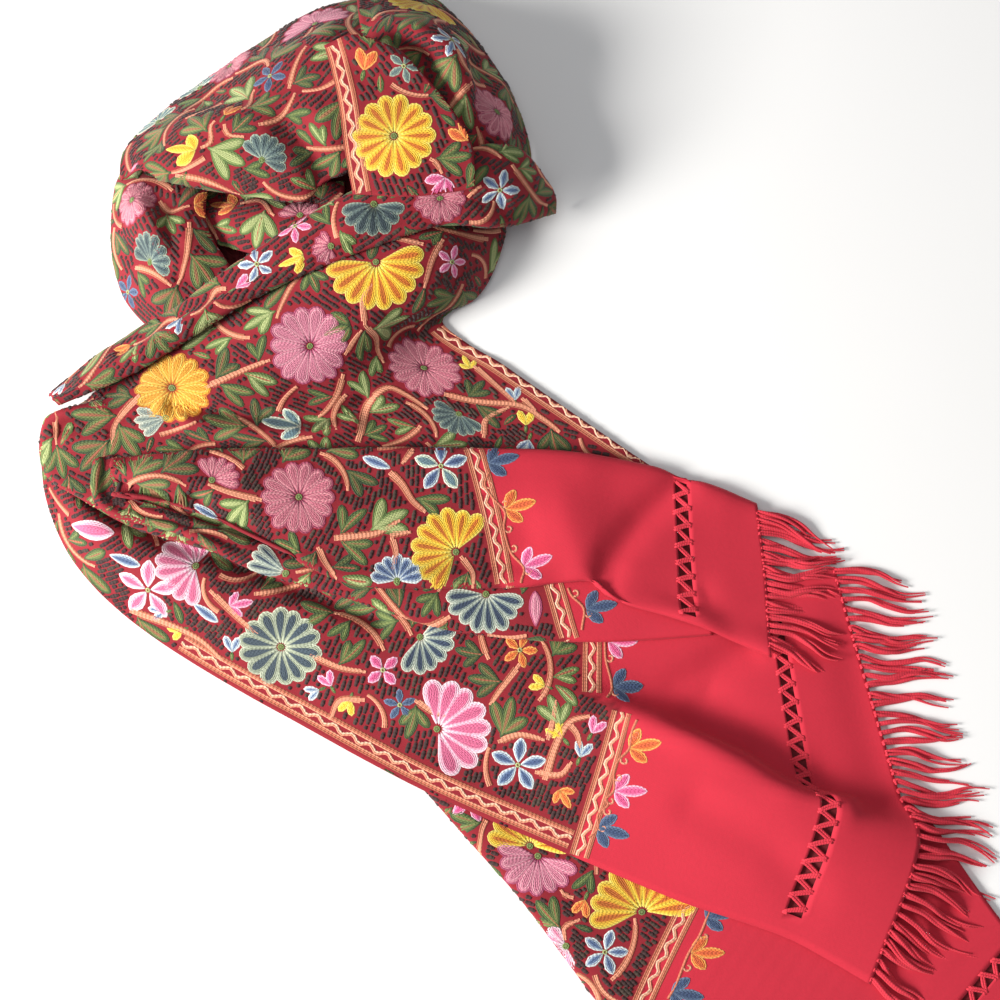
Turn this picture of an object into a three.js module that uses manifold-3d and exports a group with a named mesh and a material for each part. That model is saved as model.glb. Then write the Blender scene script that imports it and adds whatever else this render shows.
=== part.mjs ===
// Embroidered pashmina shawl dropped on a surface: twisted into a bundle at one side, with its pleats
// and both plain, fringed ends fanned out at the other. Millimetres, +Z up.
import * as THREE from 'three';
import Module from 'manifold-3d';

const wasm = await Module();
wasm.setup();

// Driving dimensions
const CLOTH = 2; // wall of the wool cloth with its embroidery
const AIR = 0.5; // air between one fold and the next
const SEAM = 0.3; // gap between a hem and its fringe strip
const CELL = 4; // cell of the map of heights on which the folds are laid
const THIN_ROLL = 2.4; // flattest half height of a rolled fold edge
const STRIP = 3; // width of the strip that the fringe hangs from
const LOCK_R = 1.5; // radius of a fringe lock at its root
const LATTICE_PITCH = 12; // length of one zigzag of the drawn-thread band
const LATTICE_HALF = 5.6; // half width of the drawn-thread band
const HOLE_BASE = 8.4; // length of a gap in it, along the band's side
const HOLE_TIP = [3.4, 0.5]; // width of its blunt tip, and how far that is from the middle line
const WOOL = 0xb3122d;

// Sections of each stretch of cloth, [x, y, height] under the named columns, one row for each section.
const UNDER_END = {
  columns: ['inner', 'middle', 'fold'], edges: [0, 4],
  rows: [
    [[42, -157, 4], [0, -174, 5], [-61, -191, 6]],
    [[126, -171, 4], [56, -206, 5], [-22, -235, 6]],
    [[195, -185, 4], [105, -242, 5], [13, -274, 6]],
    [[244, -199, 4], [143, -274, 6], [43, -313, 7]],
    [[284, -213, 4], [181, -306, 6], [74, -351, 7]],
    [[318, -260, 4], [230, -348, 5], [133, -391, 6]],
    [[349, -303, 4], [279, -377, 5], [196, -430, 6]],
    [[384, -345, 4], [325, -412, 4], [251, -465, 5]],
  ],
};
const FRONT_END = {
  columns: ['inner', 'trough', 'ridge', 'selvedge'], edges: [0, 0],
  rows: [
    [[-288, 40, 14], [-296, 42, 16], [-308, 45, 14], [-322, 48, 7]],
    [[-278, 18, 16], [-288, 15, 18], [-301, 9, 18], [-318, 5, 6]],
    [[-254, -7, 18], [-266, -17, 19], [-278, -30, 18], [-299, -40, 4]],
    [[-207, -28, 20], [-221, -43, 19], [-235, -59, 16], [-263, -79, 4]],
    [[-145, -45, 18], [-159, -68, 17], [-177, -90, 15], [-208, -117, 4]],
    [[-80, -62, 14], [-94, -90, 14], [-108, -122, 13], [-128, -162, 4]],
    [[-7, -66, 12], [-21, -104, 11], [-35, -143, 12], [-52, -202, 4]],
    [[49, -62, 10], [43, -108, 10], [33, -154, 16], [19, -233, 5]],
    [[104, -58, 9], [106, -136, 9], [103, -162, 24], [70, -255, 6]],
    [[150, -54, 8], [159, -164, 9], [166, -192, 29], [129, -279, 7]],
    [[187, -58, 7], [206, -188, 9], [220, -218, 27], [192, -300, 8]],
    [[232, -48, 5], [272, -202, 7], [282, -241, 18], [248, -331, 8]],
  ],
};
const BODY = {
  columns: ['fold', 'shoulder', 'left', 'middle', 'right', 'haunch', 'selvedge'], edges: [6, 0],
  rows: [
    [[-307, 63, 6], [-282, 77, 13], [-240, 103, 20], [-174, 141, 30], [-88, 183, 38], [-41, 197, 32], [-1, 207, 6]],
    [[-310, 55, 10], [-282, 69, 22], [-238, 87, 33], [-162, 120, 46], [-74, 159, 52], [-31, 172, 42], [4, 190, 6]],
    [[-317, 50, 18], [-285, 61, 26], [-239, 70, 32], [-163, 99, 43], [-81, 126, 46], [-41, 136, 34], [-13, 148, 5]],
    [[-320, 31, 18], [-289, 38, 24], [-240, 54, 30], [-164, 74, 34], [-103, 96, 28], [-66, 114, 12], [-41, 128, 4]],
    [[-313, 12, 20], [-286, 18, 24], [-241, 37, 27], [-165, 53, 26], [-90, 76, 16], [-42, 89, 8], [0, 98, 4]],
    [[-288, -4, 23], [-261, 3, 25], [-227, 17, 24], [-149, 32, 18], [-49, 48, 10], [3, 56, 6], [52, 61, 4]],
    [[-251, -24, 24], [-227, -17, 24], [-197, -7, 21], [-118, 5, 14], [-14, 14, 8], [49, 20, 6], [105, 24, 4]],
    [[-197, -40, 22], [-173, -37, 20], [-138, -32, 16], [-56, -23, 10], [42, -15, 6], [101, -12, 5], [157, -9, 4]],
  ],
};
const INNER_PLEAT = {
  columns: ['inner', 'middle', 'fold'], edges: [0, 5],
  rows: [
    [[-267, 27, 24], [-274, 25, 26], [-280, 22, 24]],
    [[-258, 4, 24], [-269, 3, 27], [-281, 1, 24]],
    [[-240, -4, 24], [-253, -9, 27], [-269, -15, 24]],
    [[-207, -15, 24], [-212, -22, 28], [-220, -29, 25]],
    [[-159, -35, 22], [-164, -44, 27], [-172, -52, 24]],
    [[-104, -49, 20], [-103, -60, 24], [-104, -72, 20]],
    [[-41, -49, 18], [-39, -72, 22], [-37, -93, 18]],
    [[21, -41, 16], [31, -71, 19], [42, -101, 16]],
    [[83, -45, 14], [90, -73, 16], [97, -100, 13]],
    [[139, -65, 11], [143, -81, 12], [147, -96, 10]],
  ],
};
const TOP_END = {
  columns: ['top', 'middle', 'bottom'], edges: [5, 6],
  rows: [
    [[-266, 23, 24], [-268, 10, 27], [-261, -4, 24]],
    [[-233, 27, 34], [-228, 6, 40], [-212, -14, 34]],
    [[-185, 31, 32], [-177, 0, 38], [-158, -39, 30]],
    [[-124, 33, 28], [-117, -11, 31], [-103, -63, 26]],
    [[-55, 34, 24], [-52, -15, 26], [-48, -66, 22]],
    [[0, 34, 20], [7, -18, 22], [14, -65, 20]],
    [[42, 33, 17], [48, -18, 24], [57, -62, 25]],
    [[83, 27, 12], [82, -24, 18], [73, -74, 24]],
    [[126, 17, 9], [127, -34, 13], [130, -89, 15]],
    [[179, -3, 7], [184, -55, 9], [186, -112, 10]],
  ],
};
const LEFT_RIM = {
  columns: ['outer', 'crest', 'inner'], edges: [0, 0],
  rows: [
    [[-267, 243, 8], [-241, 230, 24], [-204, 224, 22]],
    [[-275, 231, 8], [-249, 208, 40], [-206, 204, 32]],
    [[-278, 205, 7], [-245, 187, 50], [-203, 184, 38]],
    [[-276, 173, 7], [-239, 160, 42], [-188, 160, 34]],
    [[-265, 141, 7], [-233, 134, 32], [-175, 141, 30]],
    [[-243, 118, 7], [-216, 117, 20], [-165, 124, 22]],
  ],
};
const INNER_ROLL = {
  columns: ['top', 'crest', 'bottom'], edges: [0, 0],
  rows: [
    [[-241, 229, 16], [-234, 207, 20], [-227, 188, 18]],
    [[-203, 229, 24], [-196, 196, 36], [-188, 174, 30]],
    [[-158, 228, 30], [-155, 188, 46], [-152, 164, 38]],
    [[-109, 222, 34], [-110, 191, 48], [-112, 171, 42]],
  ],
};
const CROSS_BAND = {
  columns: ['foot', 'upper', 'crest', 'lower'], edges: [0, 6],
  rows: [
    [[-318, 74, 4], [-315, 73, 13], [-310, 66, 19], [-304, 60, 20]],
    [[-284, 102, 4], [-279, 99, 22], [-267, 88, 38], [-255, 81, 36]],
    [[-249, 121, 8], [-241, 116, 38], [-226, 108, 50], [-214, 106, 44]],
    [[-201, 142, 30], [-200, 145, 44], [-186, 135, 58], [-175, 130, 52]],
    [[-163, 166, 40], [-163, 170, 52], [-142, 158, 64], [-123, 153, 56]],
    [[-116, 194, 46], [-117, 199, 58], [-96, 183, 68], [-76, 171, 58]],
    [[-71, 214, 52], [-71, 219, 62], [-53, 199, 70], [-39, 184, 58]],
    [[-26, 226, 54], [-26, 232, 62], [-15, 207, 66], [-8, 184, 52]],
    [[13, 236, 42], [13, 239, 48], [16, 212, 52], [14, 192, 36]],
    [[37, 222, 10], [38, 221, 16], [40, 213, 20], [40, 208, 14]],
  ],
};
const DOME = {
  columns: ['floor', 'crest', 'lip'], edges: [0, 6],
  rows: [
    [[-269, 225, 16], [-254, 227, 44], [-240, 221, 48]],
    [[-267, 255, 10], [-235, 237, 60], [-209, 212, 54]],
    [[-235, 290, 7], [-197, 250, 70], [-168, 205, 57]],
    [[-186, 326, 6], [-156, 267, 76], [-131, 202, 58]],
    [[-134, 359, 6], [-119, 283, 77], [-99, 228, 59]],
    [[-82, 370, 5], [-85, 298, 66], [-78, 258, 50]],
  ],
};
const CROWN = {
  columns: ['floor', 'rim', 'bowl'], edges: [0, 0],
  rows: [
    [[-105, 378, 9], [-96, 312, 81], [-89, 273, 62]],
    [[-49, 369, 9], [-53, 317, 84], [-67, 282, 58]],
    [[-7, 324, 9], [-23, 284, 80], [-57, 268, 58]],
    [[17, 276, 9], [-8, 251, 68], [-47, 241, 56]],
    [[22, 243, 9], [-3, 224, 46], [-41, 221, 46]],
    [[16, 216, 9], [-9, 204, 32], [-48, 204, 34]],
  ],
};
const CORNER_FLAP = {
  columns: ['selvedge', 'middle', 'inner'], edges: [0, 0],
  rows: [
    [[-121, 303, 73], [-98, 308, 82], [-67, 298, 72]],
    [[-111, 265, 70], [-78, 266, 78], [-40, 267, 76]],
    [[-107, 233, 67], [-70, 233, 75], [-20, 237, 74]],
    [[-101, 201, 66], [-60, 198, 72], [-17, 204, 72]],
  ],
};

// Mounds of hidden, folded layers, [x, y] of the foot and height at the middle of each
const BUNDLE_CORE = {
  columns: ['x', 'y', 'radius_x', 'radius_y', 'height'],
  rows: [[-122, 236, 108, 98, 26], [-78, 286, 78, 66, 54], [-70, 178, 60, 30, 40]],
};
const FAN_CORE = {
  columns: ['x', 'y', 'radius_x', 'radius_y', 'height'],
  rows: [[-150, 20, 138, 84, 11], [-180, 74, 96, 40, 15], [-20, -20, 120, 74, 7]],
};

// Curve through points, as a function of its share u
function through(points) {
  const curve = new THREE.CatmullRomCurve3(points, false, 'catmullrom', 0.5);
  return (u) => curve.getPoint(u);
}

// Map of the heights already laid, from which the next stretch finds what it rests on
class Heap {
  constructor(x0, x1, y0, y1) {
    Object.assign(this, { x0, y0, nx: Math.ceil((x1 - x0) / CELL), ny: Math.ceil((y1 - y0) / CELL) });
    this.top = new Float32Array(this.nx * this.ny);
  }
  eachCell(a, b, c, visit) {
    const steps = Math.ceil(Math.max(a.distanceTo(b), b.distanceTo(c), c.distanceTo(a)) / (CELL * 0.45)) + 1;
    for (let i = 0; i <= steps; i++)
      for (let j = 0; j <= steps - i; j++) {
        const p = new THREE.Vector3()
          .addScaledVector(a, 1 - (i + j) / steps).addScaledVector(b, i / steps).addScaledVector(c, j / steps);
        const cx = Math.floor((p.x - this.x0) / CELL), cy = Math.floor((p.y - this.y0) / CELL);
        if (cx > 0 && cy > 0 && cx < this.nx - 1 && cy < this.ny - 1) visit(cx, cy, p.z, i / steps, j / steps);
      }
  }
  cover(cx, cy) {
    let z = 0;
    for (let dy = -1; dy <= 1; dy++)
      for (let dx = -1; dx <= 1; dx++) z = Math.max(z, this.top[(cy + dy) * this.nx + cx + dx]);
    return z;
  }
  coverAt(x, y) {
    const cx = Math.floor((x - this.x0) / CELL), cy = Math.floor((y - this.y0) / CELL);
    return cx > 0 && cy > 0 && cx < this.nx - 1 && cy < this.ny - 1 ? this.cover(cx, cy) : 0;
  }
  lay(a, b, c) {
    this.eachCell(a, b, c, (cx, cy, z) => {
      const k = cy * this.nx + cx;
      if (z > this.top[k]) this.top[k] = z;
    });
  }
}
const heap = new Heap(-400, 520, -560, 440);

// Points of a stretch: `along` steps down its rows, `across` steps over its columns, and a roll of three
// more columns outside each edge that is a fold.
function layOut(net, along, across) {
  const lengths = net.rows[0].map((_, c) => through(net.rows.map((r) => new THREE.Vector3(...r[c]))));
  const [rollFirst, rollLast] = net.edges;
  const grid = [];
  for (let i = 0; i <= along; i++) {
    const section = through(lengths.map((at) => at(i / along)));
    const fine = Array.from({ length: 49 }, (_, k) => section(k / 48));
    const run = [0];
    for (let k = 1; k < fine.length; k++) run.push(run[k - 1] + fine[k].distanceTo(fine[k - 1]));
    const total = run[run.length - 1];
    const atLength = (s) => {
      let k = 1;
      while (k < run.length - 1 && run[k] < s) k++;
      return fine[k - 1].clone().lerp(fine[k], (s - run[k - 1]) / (run[k] - run[k - 1]));
    };
    const row = [];
    for (let j = 0; j <= across; j++)
      row.push(atLength(rollFirst + (total - rollFirst - rollLast) * (j / across)));
    if (rollFirst) row.unshift(...rollEdge(row[0], fine[0], rollFirst).reverse());
    if (rollLast) row.push(...rollEdge(row[row.length - 1], fine[fine.length - 1], rollLast));
    grid.push(row);
  }
  return grid;
}

// A fold's edge turned down and under, from the last point on top out to the fold
function rollEdge(from, edge, radius) {
  const out = new THREE.Vector3(edge.x - from.x, edge.y - from.y, 0).normalize();
  const under = heap.coverAt(edge.x, edge.y);
  const half = Math.max(THIN_ROLL, Math.min(radius, (from.z - under - AIR) / 2));
  from.z = Math.max(from.z, under + AIR + 2 * half);
  return [45, 90, 135].map((degrees) => {
    const t = THREE.MathUtils.degToRad(degrees);
    const p = from.clone().addScaledVector(out, radius * Math.sin(t));
    p.z += half * (Math.cos(t) - 1);
    return p;
  });
}

// Unit normals of a grid, facing up over most of it
function normals(grid) {
  const at = (i, j) => grid[Math.max(0, Math.min(grid.length - 1, i))][Math.max(0, Math.min(grid[0].length - 1, j))];
  const found = grid.map((row, i) => row.map((_, j) => {
    const along = at(i + 1, j).clone().sub(at(i - 1, j)), across = at(i, j + 1).clone().sub(at(i, j - 1));
    return along.cross(across).normalize();
  }));
  const middle = found[grid.length >> 1][grid[0].length >> 1];
  if (middle.z < 0) found.forEach((row) => row.forEach((n) => n.negate()));
  return found;
}

function underside(grid) {
  const up = normals(grid);
  return grid.map((row, i) => row.map((p, j) => p.clone().addScaledVector(up[i][j], -CLOTH)));
}

// Raises a stretch, softly, wherever it would touch what is already laid.
function settle(grid, rolls) {
  const rows = grid.length, cols = grid[0].length;
  const base = grid.map((row) => row.map((p) => p.z));
  let lift = base.map((row) => row.map(() => 0));
  const raise = (i, j, by) => { lift[i][j] = Math.max(lift[i][j], by); };
  for (let pass = 0; pass < 14; pass++) {
    const under = underside(grid);
    const need = lift.map((row) => row.slice());
    for (const sheet of [grid, under])
      for (let i = 0; i + 1 < rows; i++)
        for (let j = 0; j + 1 < cols; j++)
          for (const [a, b, c] of [[[i, j], [i + 1, j], [i, j + 1]], [[i + 1, j + 1], [i, j + 1], [i + 1, j]]]) {
            let short = 0;
            heap.eachCell(sheet[a[0]][a[1]], sheet[b[0]][b[1]], sheet[c[0]][c[1]], (cx, cy, z) => {
              short = Math.max(short, heap.cover(cx, cy) + AIR - z);
            });
            short = Math.max(short, SEAM + 0.2 - Math.min(...[a, b, c].map(([u, v]) => sheet[u][v].z)));
            if (short > 0)
              for (const [u, v] of [a, b, c]) need[u][v] = Math.max(need[u][v], lift[u][v] + short + 0.05);
          }
    lift = need;
    if (pass < 6) lift = lift.map((row, i) => row.map((value, j) => {
      let sum = 0, n = 0;
      for (let di = -1; di <= 1; di++)
        for (let dj = -1; dj <= 1; dj++)
          if (lift[i + di]?.[j + dj] !== undefined) { sum += need[i + di][j + dj]; n++; }
      return Math.max(value, sum / n);
    }));
    lift.forEach((row, i) => {
      if (rolls[0]) for (let j = 0; j <= 3; j++) raise(i, j, Math.max(...row.slice(0, 4)));
      if (rolls[1]) for (let j = 1; j <= 4; j++) raise(i, cols - j, Math.max(...row.slice(-4)));
    });
    grid.forEach((row, i) => row.forEach((p, j) => { p.z = base[i][j] + lift[i][j]; }));
  }
}

// Lets a settled stretch down until it is a seam's width from what carries it, and lays it on the heap.
function seat(grid, below) {
  for (let pass = 0; pass < 4; pass++) {
    const solid = wallOf(grid), floor = solid.boundingBox().min[2];
    const drop = Math.min(...below.map((other) => solid.minGap(other, 12)), floor) - SEAM;
    if (drop > 0.02) grid.forEach((row) => row.forEach((p) => { p.z -= drop; }));
  }
  for (let i = 0; i + 1 < grid.length; i++)
    for (let j = 0; j + 1 < grid[0].length; j++) {
      heap.lay(grid[i][j], grid[i + 1][j], grid[i][j + 1]);
      heap.lay(grid[i + 1][j + 1], grid[i][j + 1], grid[i + 1][j]);
    }
}

// Closed solid between a grid and its underside
function wallOf(grid) {
  const under = underside(grid), rows = grid.length, cols = grid[0].length, half = rows * cols;
  const position = [...grid.flat(), ...under.flat()].flatMap((p) => [p.x, p.y, p.z]);
  const index = [], id = (i, j) => i * cols + j;
  const quad = (a, b, c, d) => index.push(a, b, c, a, c, d);
  for (let i = 0; i + 1 < rows; i++)
    for (let j = 0; j + 1 < cols; j++) {
      const [a, b, c, d] = [id(i, j), id(i + 1, j), id(i + 1, j + 1), id(i, j + 1)];
      quad(a, b, c, d);
      quad(a + half, d + half, c + half, b + half);
    }
  for (let i = 0; i + 1 < rows; i++) {
    quad(id(i + 1, 0), id(i, 0), id(i, 0) + half, id(i + 1, 0) + half);
    quad(id(i, cols - 1), id(i + 1, cols - 1), id(i + 1, cols - 1) + half, id(i, cols - 1) + half);
  }
  for (let j = 0; j + 1 < cols; j++) {
    quad(id(0, j), id(0, j + 1), id(0, j + 1) + half, id(0, j) + half);
    quad(id(rows - 1, j + 1), id(rows - 1, j), id(rows - 1, j) + half, id(rows - 1, j + 1) + half);
  }
  return asSolid(position, index);
}

function asSolid(position, index) {
  const make = (triVerts) => new wasm.Manifold(new wasm.Mesh({
    numProp: 3, vertProperties: new Float32Array(position), triVerts: new Uint32Array(triVerts),
  }));
  const solid = make(index);
  if (solid.volume() > 0) return solid;
  const turned = [];
  for (let i = 0; i < index.length; i += 3) turned.push(index[i], index[i + 2], index[i + 1]);
  return make(turned);
}

function asMesh(name, solid, color = WOOL) {
  const { vertProperties, triVerts, numProp } = solid.getMesh();
  const geometry = new THREE.BufferGeometry();
  const xyz = new Float32Array((vertProperties.length / numProp) * 3);
  for (let i = 0; i < xyz.length / 3; i++) xyz.set(vertProperties.subarray(i * numProp, i * numProp + 3), i * 3);
  geometry.setAttribute('position', new THREE.BufferAttribute(xyz, 3));
  geometry.setIndex(new THREE.BufferAttribute(new Uint32Array(triVerts), 1));
  geometry.computeVertexNormals();
  const mesh = new THREE.Mesh(geometry, new THREE.MeshStandardMaterial({ color, roughness: 0.85 }));
  mesh.name = name;
  return mesh;
}

// Gaps of a drawn-thread band: two rows of triangles, point to point about the band's middle line, at
// the row share `at`, between `margin` of the first edge and of the last
function latticeGaps(net, at, margin) {
  const line = through(net.rows[0].map((_, c) => through(net.rows.map((r) => new THREE.Vector3(...r[c])))(at)));
  const flat = (u) => line(u).setZ(0);
  const total = Array.from({ length: 60 }, (_, k) => flat(k / 60).distanceTo(flat((k + 1) / 60)))
    .reduce((a, b) => a + b, 0);
  const gaps = [], count = Math.floor((2 * (total - 2 * margin)) / LATTICE_PITCH);
  let u = 0, run = 0, wanted = margin + HOLE_BASE / 2, made = 0;
  while (u < 1 && made < count) {
    run += flat(u).distanceTo(flat(u + 0.001));
    u += 0.001;
    if (run < wanted) continue;
    const along = flat(Math.min(1, u + 0.004)).sub(flat(u - 0.004)).normalize();
    const over = new THREE.Vector3(-along.y, along.x, 0).multiplyScalar(made % 2 ? 1 : -1);
    const middle = line(u);
    const corner = (a, o) => [a * along.x + o * over.x + middle.x, a * along.y + o * over.y + middle.y];
    const [tip, from] = [HOLE_TIP[0] / 2, HOLE_TIP[1]];
    const outline = [
      corner(-HOLE_BASE / 2, LATTICE_HALF), corner(HOLE_BASE / 2, LATTICE_HALF), corner(tip, from), corner(-tip, from),
    ];
    gaps.push(new wasm.CrossSection([outline], 'NonZero').extrude(140).translate([0, 0, -20]));
    wanted += LATTICE_PITCH / 2;
    made++;
  }
  return gaps;
}

// Fringe of a hem: a strip just off the hem's edge, and locks that leave it and sink to what is below.
// `headings` are the locks' directions in degrees, evenly spaced along the hem.
function fringeOf(grid, rolls, locks, length, headings) {
  const first = rolls[0] ? 3 : 0, last = grid[0].length - (rolls[1] ? 3 : 0);
  const hem = grid.at(-1).slice(first, last), under = underside(grid).at(-1).slice(first, last);
  const inland = grid.at(-2).slice(first, last), run = [0];
  for (let k = 1; k < hem.length; k++) run.push(run[k - 1] + hem[k].distanceTo(hem[k - 1]));
  const outward = hem.map((p, k) => {
    const side = hem[Math.min(hem.length - 1, k + 1)].clone().sub(hem[Math.max(0, k - 1)]).setZ(0).normalize();
    const out = new THREE.Vector3(-side.y, side.x, 0);
    return out.dot(p.clone().sub(inland[k])) < 0 ? out.negate() : out;
  });
  const at = (share, points) => {
    const s = share * run.at(-1);
    let k = 1;
    while (k < run.length - 1 && run[k] < s) k++;
    return points[k - 1].clone().lerp(points[k], (s - run[k - 1]) / (run[k] - run[k - 1]));
  };
  const position = [], index = [], inner = SEAM + 0.1, outer = inner + STRIP;
  hem.forEach((top, k) => {
    for (const [p, off] of [[top, inner], [top, outer], [under[k], outer], [under[k], inner]]) {
      const q = p.clone().addScaledVector(outward[k], off);
      position.push(q.x, q.y, q.z);
    }
    for (let s = 0; s < 4 && k; s++) {
      const a = k * 4 - 4 + s, b = k * 4 - 4 + ((s + 1) % 4);
      index.push(a, b, b + 4, a, b + 4, a + 4);
    }
  });
  const end = hem.length * 4 - 4;
  index.push(0, 2, 1, 0, 3, 2, end, end + 1, end + 2, end, end + 2, end + 3);
  const parts = [asSolid(position, index)], tops = [], bends = 4;
  const headingAt = through(headings.map((degrees, k) => new THREE.Vector3(k, THREE.MathUtils.degToRad(degrees), 0)));
  for (let k = 0; k < locks; k++) {
    const share = (k + 0.5) / locks;
    const root = at(share, hem).lerp(at(share, under), 0.45).addScaledVector(at(share, outward), inner + STRIP * 0.5);
    const long = length * (1 + 0.08 * Math.sin(k * 2.3) + 0.06 * Math.sin(k * 0.6));
    const points = [root];
    for (let s = 1; s <= bends; s++) {
      const turn = headingAt(share).y + 0.16 * Math.sin(s * 1.6 + k * 0.4) + 0.03 * Math.sin(s + k * 2.7);
      const step = new THREE.Vector3(Math.cos(turn), Math.sin(turn), 0).multiplyScalar(long / bends);
      points.push(points[s - 1].clone().add(step));
    }
    points.forEach((p, s) => {
      if (!s) return;
      const thick = LOCK_R * (1 - (0.45 * s) / bends);
      const sunk = (root.z - 2.2) * Math.min(1, (s / bends) * 1.5) ** 1.3;
      const below = [[0, 0], [3, 0], [-3, 0], [0, 3], [0, -3]].map(([dx, dy]) => heap.coverAt(p.x + dx, p.y + dy));
      p.z = Math.max(root.z - sunk, Math.max(...below) + AIR + thick, 1.2 + thick);
    });
    parts.push(lockOf(points));
    tops.push(points.map((p) => p.clone().setZ(p.z + LOCK_R)));
  }
  for (const lock of tops) for (let s = 1; s < lock.length; s++) heap.lay(lock[s - 1], lock[s], lock[s]);
  return wasm.Manifold.union(parts);
}

// One lock of twisted wool: three-sided, thinner towards its end
function lockOf(points) {
  const position = [], index = [];
  points.forEach((p, s) => {
    const next = points[Math.min(points.length - 1, s + 1)], last = points[Math.max(0, s - 1)];
    const way = next.clone().sub(last).setZ(0).normalize();
    const side = new THREE.Vector3(-way.y, way.x, 0);
    const r = LOCK_R * (1 - (0.45 * s) / (points.length - 1)) * (s ? 1 : 0.6);
    for (const [a, z] of [[-r, -0.5 * r], [r, -0.5 * r], [0, r]]) {
      const q = p.clone().addScaledVector(side, a);
      position.push(q.x, q.y, q.z + z);
    }
  });
  const last = (points.length - 1) * 3;
  for (let s = 0; s + 1 < points.length; s++)
    for (let k = 0; k < 3; k++) {
      const a = s * 3 + k, b = s * 3 + ((k + 1) % 3);
      index.push(a, b, b + 3, a, b + 3, a + 3);
    }
  index.push(0, 2, 1, last, last + 1, last + 2);
  return asSolid(position, index);
}

// Flat-bottomed solid of hidden layers: the highest of its mounds, with a stepped, rounded edge
function coreOf(mounds, rings, spokes) {
  const [mx, my, mrx, mry] = mounds.rows[0];
  const heightAt = (x, y) => Math.max(...mounds.rows.map(([cx, cy, rx, ry, h]) => {
    const r = Math.min(1, Math.hypot((x - cx) / rx, (y - cy) / ry));
    return h * Math.sqrt(Math.max(0, 1 - r ** 3));
  }));
  const position = [], index = [], levels = [];
  for (let r = 0; r <= rings; r++) {
    const share = Math.sin(((r / rings) * Math.PI) / 2);
    for (let s = 0; s < spokes; s++) {
      const t = (2 * Math.PI * s) / spokes;
      const x = mx + share * mrx * Math.cos(t), y = my + share * mry * Math.sin(t);
      levels.push([x, y, r === rings ? 3 : Math.max(3, heightAt(x, y))]);
    }
  }
  position.push(...levels.flat(), ...levels.slice(-spokes).flatMap(([x, y]) => [x, y, 0]));
  const foot = levels.length;
  for (let r = 0; r <= rings; r++)
    for (let s = 0; s < spokes; s++) {
      const t = (s + 1) % spokes, a = r * spokes;
      const [p, q] = r < rings ? [a, a + spokes] : [a, foot];
      index.push(p + s, q + s, q + t, p + s, q + t, p + t);
    }
  const top = position.length / 3;
  position.push(mx, my, heightAt(mx, my), mx, my, 0);
  for (let s = 0; s < spokes; s++) {
    index.push(top, s, (s + 1) % spokes, top + 1, foot + ((s + 1) % spokes), foot + s);
  }
  for (let r = 0; r < rings; r++)
    for (let s = 0; s < spokes; s++) {
      const p = (k, m) => new THREE.Vector3(...levels[k * spokes + (m % spokes)]);
      heap.lay(p(r, s), p(r + 1, s), p(r + 1, s + 1));
      heap.lay(p(r, s), p(r, s + 1), p(r + 1, s + 1));
    }
  return asSolid(position, index);
}

const group = new THREE.Group();
group.name = 'embroidered_pashmina_shawl';
const solids = [];
function add(name, solid) {
  solids.push(solid);
  group.add(asMesh(name, solid));
}

add('bundle_core', coreOf(BUNDLE_CORE, 7, 28));
add('fan_core', coreOf(FAN_CORE, 6, 28));

// Stretches in the order they lie, lowest first: [name, sections, steps along, steps across]
const laid = {};
function stretch(name, net, along, across, gaps = []) {
  const grid = layOut(net, along, across);
  settle(grid, net.edges);
  seat(grid, solids);
  laid[name] = grid;
  let solid = wallOf(grid);
  if (gaps.length) solid = solid.subtract(wasm.Manifold.union(gaps));
  add(name, solid);
}
stretch('under_end', UNDER_END, 15, 7, latticeGaps(UNDER_END, 6 / 7, 10));
add('under_end_fringe', fringeOf(laid.under_end, UNDER_END.edges, 28, 56, [-36, -46, -52]));
stretch('front_end', FRONT_END, 22, 11, latticeGaps(FRONT_END, 10 / 11, 8));
add('front_end_fringe', fringeOf(laid.front_end, FRONT_END.edges, 44, 56, [-12, -2, -4, -4, -16, -26, -44]));
stretch('inner_roll', INNER_ROLL, 7, 7);
stretch('left_rim', LEFT_RIM, 9, 8);
stretch('body', BODY, 16, 13);
stretch('inner_pleat', INNER_PLEAT, 18, 4);
stretch('top_end', TOP_END, 21, 7, latticeGaps(TOP_END, 8 / 9, 9));
add('top_end_fringe', fringeOf(laid.top_end, TOP_END.edges, 20, 54, [-26, -8, -2, -14, -26]));
stretch('dome', DOME, 12, 9);
stretch('crown', CROWN, 10, 9);
stretch('cross_band', CROSS_BAND, 18, 7);
stretch('corner_flap', CORNER_FLAP, 7, 7);

// The part's origin is the middle of its footprint, on the floor.
const box = new THREE.Box3().setFromObject(group);
const middle = box.getCenter(new THREE.Vector3());
group.position.set(-middle.x, -middle.y, -box.min.z);
export default group;
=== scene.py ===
import math
import random
import bpy
import numpy as np
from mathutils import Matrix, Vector, kdtree
from mathutils.bvhtree import BVHTree


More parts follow.
